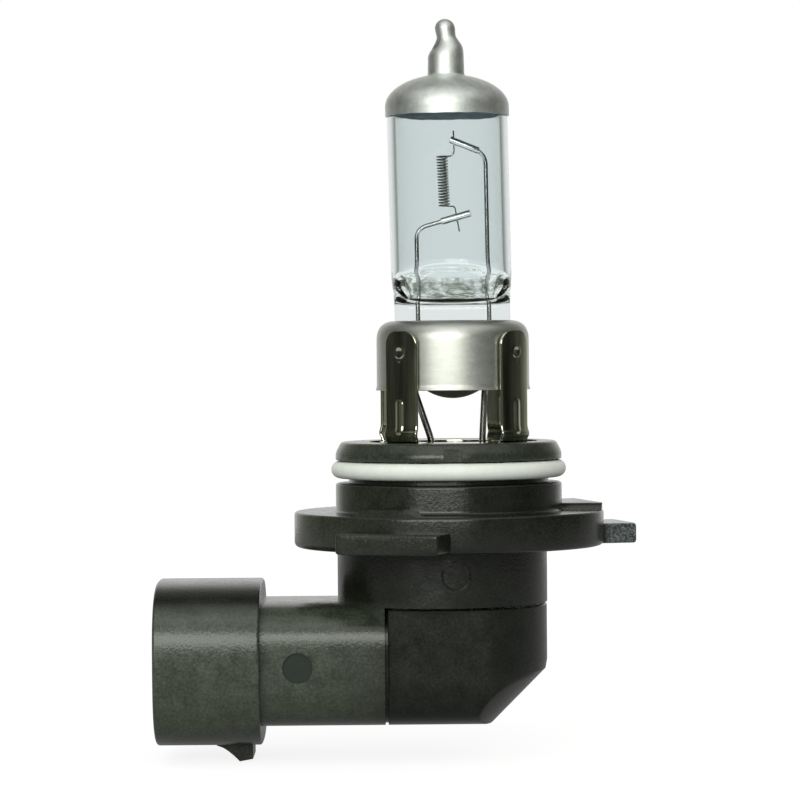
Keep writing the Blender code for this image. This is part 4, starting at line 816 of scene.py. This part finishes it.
# Filament
# One length of tungsten wire: a tail and a leg held by the lower sleeve, a close coil, then the leg and tail
# held by the upper sleeve. The coil has its full number of turns.
FILAMENT_RADIUS = 0.08 * mm
COIL_RADIUS = 0.5 * mm
COIL_TILT = math.tan(math.radians(1.4))
COIL_X = PREFOCUS_X - 0.55 * mm
COIL_LOW, COIL_HIGH = 29.0 * mm, 33.9 * mm
COIL_TURNS = 17.5
LEG_Y = 0.45 * mm
BOTTOM_LEG_X = (PREFOCUS_X + 0.92 * mm, PREFOCUS_X + 0.52 * mm)
TOP_LEG_X = PREFOCUS_X + 0.58 * mm
TAIL_LOW, TAIL_HIGH = (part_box("filament")[k].z for k in (0, 1))
rise = np.linspace(0.0, 1.0, 17 * 24 + 12)
coil_angle = -math.pi / 2 - 2 * math.pi * COIL_TURNS * rise
coil_length = COIL_HIGH - COIL_LOW
coil = np.stack((COIL_X + COIL_TILT * coil_length * (0.5 - rise) + COIL_RADIUS * np.cos(coil_angle),
                 COIL_RADIUS * np.sin(coil_angle), COIL_LOW + coil_length * rise), axis=1)
low_leg = round_corners([(BOTTOM_LEG_X[0], LEG_Y, TAIL_LOW), (BOTTOM_LEG_X[1], LEG_Y, COIL_LOW), coil[0]],
                        0.3 * mm)
high_leg = round_corners([coil[-1], (TOP_LEG_X, LEG_Y, COIL_HIGH), (TOP_LEG_X, LEG_Y, TAIL_HIGH)], 0.7 * mm,
                         steps=10)
filament = wire("wound_filament", np.vstack((low_leg[:-1], coil, high_leg[1:])), FILAMENT_RADIUS,
                (0.3, 0.2, 0.93), sides=10)
tungsten = grained_finish("wound_tungsten", (0.28, 0.28, 0.28), (0.42, 0.42, 0.41), (0.12, 0.20), 0.1 * mm,
                          0.002 * mm, metallic=1.0)
lean(filament)
finish_piece(filament, tungsten)
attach(filament, "root")
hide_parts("filament")

# Glass envelope
# A quartz tube drawn off to a knobbed tip above its dome; its foot was softened and pressed flat over the
# two leads, so the round chamber narrows to a rounded floor over a clear slab.
GLASS_RADIUS = 5.9 * mm
GLASS_WALL = 0.78 * mm
TIP_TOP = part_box("glass_envelope")[1].z - 0.2 * mm
DOME_FOOT = 38.7 * mm
DOME_RISE = 3.05 * mm
SHOULDER_TOP = 22.7 * mm
PRESS_TOP = 19.2 * mm
CHAMBER_WAIST = (22.2 * mm, 20.4 * mm)
CHAMBER_FLOOR = 19.85 * mm
CHAMBER_TROUGH = 4.5 * mm
TIP_KNOB = 0.84 * mm
TIP_WAIST = (0.80 * mm, 45.7 * mm)
TIP_FOOT = (1.60 * mm, 43.5 * mm)
TIP_FILLET = 0.5 * mm
TIP_SWAY = 0.3 * mm
CAPSULE_SIDES = 192


def tip_and_dome(offset=0.0):
    """(radius, height) down the tip and the dome, from the pole to the dome's foot, moved out by an offset:
    knob as a half ball, waist to foot as a cosine ease, a small fillet, then the dome's half ellipse."""
    turn = np.linspace(0.0, math.pi / 2, 14)
    knob = np.stack((TIP_KNOB * np.sin(turn), TIP_TOP - TIP_KNOB + TIP_KNOB * np.cos(turn)), axis=1)
    t = np.linspace(0.0, 1.0, 16)
    ease = (1 - np.cos(math.pi * t)) / 2
    neck = np.stack((TIP_WAIST[0] + (TIP_FOOT[0] - TIP_WAIST[0]) * ease,
                     TIP_WAIST[1] + (TIP_FOOT[1] - TIP_WAIST[1]) * t), axis=1)
    start = math.asin((TIP_FOOT[0] + TIP_FILLET) / GLASS_RADIUS)
    around = np.linspace(start, math.pi / 2, 28)
    dome = np.stack((GLASS_RADIUS * np.sin(around), DOME_FOOT + DOME_RISE * np.cos(around)), axis=1)
    meet = dome[0, 1]
    root = round_corners([neck[-1], (TIP_FOOT[0] + 0.05 * mm, meet + 0.1 * mm), dome[1]], 1.0 * mm, steps=8)
    profile = np.vstack((knob, neck, root[1:-1], dome[1:]))
    run = np.gradient(profile, axis=0)
    run /= np.linalg.norm(run, axis=1)[:, None]
    run[0] = (1.0, 0.0)
    run[-1] = (0.0, -1.0)
    return profile + offset * np.stack((-run[:, 1], run[:, 0]), axis=1)


def press_section(height):
    """Half widths along X and Y and the roundness of the outside at each height: an eased change from the
    round tube at SHOULDER_TOP to the flat slab at PRESS_TOP."""
    fall = np.clip((SHOULDER_TOP - height) / (SHOULDER_TOP - PRESS_TOP), 0.0, 1.0)
    ease = fall ** 2 * (3 - 2 * fall)
    return (GLASS_RADIUS + (PRESS_HALF_WIDTH - GLASS_RADIUS) * ease,
            GLASS_RADIUS + (PRESS_HALF_THICKNESS - GLASS_RADIUS) * ease,
            2.0 + (PRESS_ROUNDNESS - 2.0) * fall ** 2)


def glass_rings(height, half_x, half_y, roundness):
    """Grid of superellipse rings, one for each height."""
    angle = np.linspace(0.0, 2 * math.pi, CAPSULE_SIDES, endpoint=False)[None]
    c, s = np.cos(angle), np.sin(angle)
    power = 2 / np.broadcast_to(roundness, height.shape)[:, None]
    x = PREFOCUS_X + half_x[:, None] * np.sign(c) * np.abs(c) ** power
    y = half_y[:, None] * np.sign(s) * np.abs(s) ** power
    return np.stack(np.broadcast_arrays(x, y, height[:, None]), axis=-1)


outside = tip_and_dome()[1:]
tube_height = np.r_[np.linspace(DOME_FOOT, SHOULDER_TOP, 24)[1:],
                    np.linspace(SHOULDER_TOP, PRESS_TOP, 48)[1:],
                    np.linspace(PRESS_TOP, PRESS_FOOT, 12)[1:]]
lower_x, lower_y, lower_roundness = press_section(tube_height)
glass_height = np.r_[outside[:, 1], tube_height]
envelope = skin("quartz_envelope", glass_rings(glass_height, np.r_[outside[:, 0], lower_x],
                                               np.r_[outside[:, 0], lower_y],
                                               np.r_[np.full(len(outside), 2.0), lower_roundness]),
                top=(PREFOCUS_X, 0.0, TIP_TOP))
inner_radius = GLASS_RADIUS - GLASS_WALL
inner_rise = DOME_RISE - GLASS_WALL
around = np.linspace(0.0, math.pi / 2, 24)[1:]
dome_radius = inner_radius * np.sin(around)
waist_top, waist_foot = CHAMBER_WAIST
funnel_height = np.r_[np.linspace(DOME_FOOT, waist_top, 20)[:-1], np.linspace(waist_top, waist_foot, 32)]
funnel_fall = np.clip((waist_top - funnel_height) / (waist_top - waist_foot), 0.0, 1.0)
funnel_ease = funnel_fall ** 2 * (3 - 2 * funnel_fall)
trough_turn = np.linspace(0.0, math.pi / 2, 24)[1:-1]
chamber_height = np.r_[DOME_FOOT + inner_rise * np.cos(around[:-1]), funnel_height,
                       waist_foot + (CHAMBER_FLOOR - waist_foot) * np.sin(trough_turn)]
funnel_x, funnel_y, funnel_roundness = press_section(funnel_height)
funnel_x = funnel_x - GLASS_WALL + (CHAMBER_TROUGH - inner_radius) * funnel_ease
funnel_y = funnel_y - GLASS_WALL * np.hypot(1.0, np.gradient(funnel_y, funnel_height))
chamber_x, chamber_y, chamber_roundness = (
    np.r_[dome, funnel, funnel[-1] * trough]
    for dome, funnel, trough in ((dome_radius[:-1], funnel_x, np.cos(trough_turn)),
                                 (dome_radius[:-1], funnel_y, np.cos(trough_turn)),
                                 (np.full(len(dome_radius) - 1, 2.0), funnel_roundness,
                                  np.ones_like(trough_turn))))
chamber = skin("glass_chamber", glass_rings(chamber_height, chamber_x, chamber_y, chamber_roundness),
               top=(PREFOCUS_X, 0.0, DOME_FOOT + inner_rise), foot=(PREFOCUS_X, 0.0, CHAMBER_FLOOR))
combine(envelope, [chamber], "DIFFERENCE")
quartz = bpy.data.materials.new("clear_quartz")
quartz.use_nodes = True
quartz_shader = quartz.node_tree.nodes["Principled BSDF"]
clearing = quartz.node_tree.nodes.new("ShaderNodeValToRGB")
clearing.color_ramp.elements[0].color = (0.98, 1.0, 0.99, 1.0)
clearing.color_ramp.elements[1].color = (0.843, 0.889, 0.891, 1.0)
quartz_place = quartz.node_tree.nodes.new("ShaderNodeTexCoord")
quartz_height = quartz.node_tree.nodes.new("ShaderNodeSeparateXYZ")
quartz_rise = quartz.node_tree.nodes.new("ShaderNodeMapRange")
quartz_rise.inputs["From Min"].default_value = PRESS_TOP
quartz_rise.inputs["From Max"].default_value = SHOULDER_TOP
# Streaks round the pressed shoulder: the glass's flow lines, darkened in its colour as painted shade for the
# shoulder's dark refracted lines.
flow_place = quartz.node_tree.nodes.new("ShaderNodeMapping")
flow_place.inputs["Scale"].default_value = (0.2, 0.2, 1.0)
flow = quartz.node_tree.nodes.new("ShaderNodeTexNoise")
flow.inputs["Scale"].default_value = 1.0 / (0.3 * mm)
flow.inputs["Distortion"].default_value = 1.2
streak_shade_tone = quartz.node_tree.nodes.new("ShaderNodeValToRGB")
streak_shade_tone.color_ramp.elements[0].position = 0.36
streak_shade_tone.color_ramp.elements[0].color = (0.27, 0.30, 0.24, 1.0)
streak_shade_tone.color_ramp.elements[1].position = 0.54
streak_shade_tone.color_ramp.elements[1].color = (1.0, 1.0, 1.0, 1.0)
streak_shade_zone = quartz.node_tree.nodes.new("ShaderNodeValToRGB")
streak_shade_zone.color_ramp.elements[0].color = (0.0, 0.0, 0.0, 1.0)
streak_shade_zone.color_ramp.elements[1].position = 0.85
streak_shade_zone.color_ramp.elements[1].color = (0.0, 0.0, 0.0, 1.0)
streak_shade_zone.color_ramp.elements.new(0.2).color = (1.0, 1.0, 1.0, 1.0)
streak_shade_zone.color_ramp.elements.new(0.6).color = (1.0, 1.0, 1.0, 1.0)
streaked = quartz.node_tree.nodes.new("ShaderNodeMix")
streaked.data_type = "RGBA"
streaked.blend_type = "MULTIPLY"
for source, socket in ((quartz_place.outputs["Object"], quartz_height.inputs[0]),
                       (quartz_height.outputs["Z"], quartz_rise.inputs["Value"]),
                       (quartz_rise.outputs["Result"], clearing.inputs["Fac"]),
                       (quartz_rise.outputs["Result"], streak_shade_zone.inputs["Fac"]),
                       (quartz_place.outputs["Object"], flow_place.inputs["Vector"]),
                       (flow_place.outputs["Vector"], flow.inputs["Vector"]),
                       (flow.outputs["Fac"], streak_shade_tone.inputs["Fac"]),
                       (streak_shade_zone.outputs["Color"], streaked.inputs[0]),
                       (clearing.outputs["Color"], streaked.inputs[6]),
                       (streak_shade_tone.outputs["Color"], streaked.inputs[7]),
                       (streaked.outputs[2], quartz_shader.inputs["Base Color"])):
    quartz.node_tree.links.new(source, socket)
quartz_shader.inputs["Roughness"].default_value = 0.0
quartz_shader.inputs["IOR"].default_value = 1.46
quartz_shader.inputs["Specular IOR Level"].default_value = 0.06
quartz_shader.inputs["Transmission Weight"].default_value = 1.0
quartz_depth = quartz.node_tree.nodes.new("ShaderNodeVolumeAbsorption")
quartz_depth.inputs["Color"].default_value = (0.08, 0.25, 0.25, 1.0)
quartz_depth.inputs["Density"].default_value = 0.055 / mm
quartz.node_tree.links.new(quartz_depth.outputs[0],
                           quartz.node_tree.nodes["Material Output"].inputs["Volume"])
lean(envelope)
finish_piece(envelope, quartz, sharp=50.0)
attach(envelope, "root")
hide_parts("glass_envelope")

# Anti-glare cap
# A fired silver coating over the tip, the dome and the top of the tube, with a slightly ragged dipped edge.
# Outside it is satin silver; seen through the glass its inside is a dark slate film.
CAP_GAP = 0.03 * mm
CAP_THICKNESS = 0.12 * mm
CAP_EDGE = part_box("anti_glare_cap")[0].z - 0.15 * mm
CAP_RAGGEDNESS = 0.05 * mm
outer_profile = tip_and_dome(CAP_GAP + CAP_THICKNESS)
inner_profile = tip_and_dome(CAP_GAP)
skirt = np.linspace(DOME_FOOT, CAP_EDGE + CAP_RAGGEDNESS, 8)[1:, None]
outer_skirt = np.hstack((np.full_like(skirt, outer_profile[-1, 0]), skirt))
inner_skirt = np.hstack((np.full_like(skirt, inner_profile[-1, 0]), skirt))
cap_profile = np.vstack((outer_profile, outer_skirt, inner_skirt[::-1], inner_profile[::-1]))
cap = turned("silver_cap", cap_profile, x=PREFOCUS_X, sides=CAPSULE_SIDES)
points = np.empty(len(cap.data.vertices) * 3)
cap.data.vertices.foreach_get("co", points)
points = points.reshape(-1, 3)
round_angle = np.arctan2(points[:, 1], points[:, 0] - PREFOCUS_X)
waver = np.sin(5 * round_angle + 0.7) + 0.6 * np.sin(11 * round_angle) + 0.5 * np.sin(23 * round_angle + 2.0)
into_skirt = np.clip((DOME_FOOT - points[:, 2]) / (DOME_FOOT - CAP_EDGE), 0.0, 1.0)
points[:, 2] += CAP_RAGGEDNESS * 0.45 * waver * into_skirt
sway_height = (points[:, 2] - TIP_FOOT[1]) / (TIP_WAIST[1] - TIP_FOOT[1])
points[:, 0] += TIP_SWAY * np.exp(-((sway_height - 0.6) / 0.35) ** 2)
cap.data.vertices.foreach_set("co", points.ravel())
silver = grained_finish("satin_silver", (0.74, 0.765, 0.735), (0.92, 0.945, 0.92), (0.42, 0.56), 0.12 * mm,
                        0.02 * mm, metallic=1.0)
slate = grained_finish("slate_film", (0.52, 0.58, 0.66), (0.70, 0.75, 0.82), (0.4, 0.55), 0.2 * mm,
                       0.004 * mm)
lean(cap)
finish_piece(cap, silver)
cap.data.materials.append(slate)
row_of_face = np.arange(len(cap.data.polygons)) // CAPSULE_SIDES
outer_rows = len(outer_profile) + len(outer_skirt) - 2
inside = (row_of_face > outer_rows) & (row_of_face <= 2 * outer_rows)
inside[-CAPSULE_SIDES:] = True
cap.data.polygons.foreach_set("material_index", inside.astype(np.int32))
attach(cap, "root")
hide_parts("anti_glare_cap")

# Stage
# A plain white floor under the bulb, a low wide key light in front and a weaker one higher up, and a
# white sweep all round that is darker on the viewer's side. The camera looks on from a little above.
FLOOR_LEVEL = LATCH_FOOT
FLOOR_HALF = 0.35
CAMERA_PLACE = (-4.65 * mm, -332 * mm, 15.5 * mm)
CAMERA_PITCH = 0.93
CAMERA_ROLL = 0.5
CAMERA_LENS = 152.7
LAMP_DISTANCE = 1.5
LAMPS = {"key": (12.0, 15.5, (1.4, 0.50), 12.5), "top": (4.0, 44.0, (1.3, 0.8), 2.6)}
LAMP_TINT = (0.97, 1.0, 0.94)
AMBIENT = (0.48, 0.50, 0.47)
floor_mesh = bpy.data.meshes.new("floor")
floor_corners = rectangle(FLOOR_HALF, FLOOR_HALF)
floor_mesh.from_pydata([(x, y, FLOOR_LEVEL) for x, y in floor_corners], [], [(0, 1, 2, 3)])
floor = bpy.data.objects.new("floor", floor_mesh)
bpy.context.scene.collection.objects.link(floor)
paper = bpy.data.materials.new("white_paper")
paper.use_nodes = True
nodes, links = paper.node_tree.nodes, paper.node_tree.links
nodes.clear()
sheet = nodes.new("ShaderNodeBsdfDiffuse")
sheet.inputs["Color"].default_value = (0.3, 0.3, 0.3, 1.0)
glow = nodes.new("ShaderNodeEmission")
ray = nodes.new("ShaderNodeLightPath")
seen = ray.outputs["Is Camera Ray"]
for kind, share in (("Is Transmission Ray", 1.0), ("Is Glossy Ray", 0.25)):
    either = nodes.new("ShaderNodeMath")
    either.operation = "MULTIPLY_ADD"
    either.inputs[1].default_value = share
    links.new(ray.outputs[kind], either.inputs[0])
    links.new(seen, either.inputs[2])
    seen = either.outputs[0]
level = nodes.new("ShaderNodeMath")
level.operation = "MULTIPLY"
level.inputs[1].default_value = 0.85
links.new(seen, level.inputs[0])
links.new(level.outputs[0], glow.inputs["Strength"])
both = nodes.new("ShaderNodeAddShader")
links.new(sheet.outputs[0], both.inputs[0])
links.new(glow.outputs[0], both.inputs[1])
surface = nodes.new("ShaderNodeOutputMaterial")
links.new(both.outputs[0], surface.inputs["Surface"])
floor_mesh.materials.append(paper)

world = bpy.data.worlds.new("studio")
bpy.context.scene.world = world
world.use_nodes = True
nodes, links = world.node_tree.nodes, world.node_tree.links
nodes.clear()
ray = nodes.new("ShaderNodeLightPath")
direction = nodes.new("ShaderNodeTexCoord")
parts = nodes.new("ShaderNodeSeparateXYZ")
links.new(direction.outputs["Generated"], parts.inputs[0])
depth = nodes.new("ShaderNodeMapRange")
depth.inputs["From Min"].default_value = -1.0
links.new(parts.outputs["Y"], depth.inputs["Value"])
sweep = nodes.new("ShaderNodeValToRGB")
links.new(depth.outputs["Result"], sweep.inputs["Fac"])
sweep.color_ramp.interpolation = "EASE"
stops = sweep.color_ramp.elements
stops[0].position, stops[0].color = 0.03, (0.12, 0.125, 0.11, 1.0)
stops[1].position, stops[1].color = 0.98, (1.0, 1.0, 1.0, 1.0)
for position, tone in ((0.20, 0.075), (0.42, 0.018), (0.64, 0.06), (0.85, 0.28)):
    stop = stops.new(position)
    stop.color = (tone, tone * 1.04, tone * 0.92, 1.0)
overhead = nodes.new("ShaderNodeMapRange")
overhead.inputs["From Min"].default_value = 0.45
overhead.inputs["From Max"].default_value = 0.85
overhead.inputs["To Max"].default_value = 0.8
links.new(parts.outputs["Z"], overhead.inputs["Value"])
before = nodes.new("ShaderNodeMapRange")
before.inputs["From Min"].default_value = 0.3
before.inputs["From Max"].default_value = -0.2
links.new(parts.outputs["Y"], before.inputs["Value"])
ceiling = nodes.new("ShaderNodeMath")
ceiling.operation = "MULTIPLY"
links.new(overhead.outputs["Result"], ceiling.inputs[0])
links.new(before.outputs["Result"], ceiling.inputs[1])
top_light = nodes.new("ShaderNodeMix")
top_light.data_type = "RGBA"
top_light.blend_type = "ADD"
top_light.inputs[0].default_value = 1.0
links.new(sweep.outputs["Color"], top_light.inputs[6])
links.new(ceiling.outputs[0], top_light.inputs[7])
mirrored = nodes.new("ShaderNodeMix")
mirrored.data_type = "RGBA"
mirrored.inputs[6].default_value = (*AMBIENT, 1.0)
links.new(ray.outputs["Glossy Depth"], mirrored.inputs[0])
links.new(top_light.outputs[2], mirrored.inputs[7])
through = nodes.new("ShaderNodeMath")
through.operation = "SUBTRACT"
links.new(ray.outputs["Is Transmission Ray"], through.inputs[0])
links.new(ray.outputs["Glossy Depth"], through.inputs[1])
clear_view = nodes.new("ShaderNodeMath")
clear_view.operation = "MAXIMUM"
links.new(ray.outputs["Is Camera Ray"], clear_view.inputs[0])
links.new(through.outputs[0], clear_view.inputs[1])
white = nodes.new("ShaderNodeMix")
white.data_type = "RGBA"
white.inputs[7].default_value = (1.0, 1.0, 1.0, 1.0)
links.new(clear_view.outputs[0], white.inputs[0])
links.new(mirrored.outputs[2], white.inputs[6])
sky = nodes.new("ShaderNodeBackground")
links.new(white.outputs[2], sky.inputs["Color"])
sky_out = nodes.new("ShaderNodeOutputWorld")
links.new(sky.outputs[0], sky_out.inputs["Surface"])

for lamp_name, (azimuth, elevation, lamp_size, power) in LAMPS.items():
    azimuth, elevation = math.radians(azimuth), math.radians(elevation)
    lamp_data = bpy.data.lights.new(lamp_name, "AREA")
    lamp_data.shape = "RECTANGLE"
    lamp_data.size, lamp_data.size_y = lamp_size
    lamp_data.energy = power
    lamp_data.color = LAMP_TINT
    lamp = bpy.data.objects.new(lamp_name, lamp_data)
    lamp.location = (-LAMP_DISTANCE * math.sin(azimuth) * math.cos(elevation),
                     -LAMP_DISTANCE * math.cos(azimuth) * math.cos(elevation),
                     LAMP_DISTANCE * math.sin(elevation))
    lamp.rotation_euler = (math.pi / 2 - elevation, 0.0, -azimuth)
    bpy.context.scene.collection.objects.link(lamp)
camera_data = bpy.data.cameras.new("camera")
camera_data.lens = CAMERA_LENS
camera = bpy.data.objects.new("camera", camera_data)
camera.location = CAMERA_PLACE
camera.rotation_euler = (math.radians(90 - CAMERA_PITCH), math.radians(CAMERA_ROLL), 0.0)
bpy.context.scene.collection.objects.link(camera)
bpy.context.scene.camera = camera
bpy.context.scene.view_settings.view_transform = "Standard"
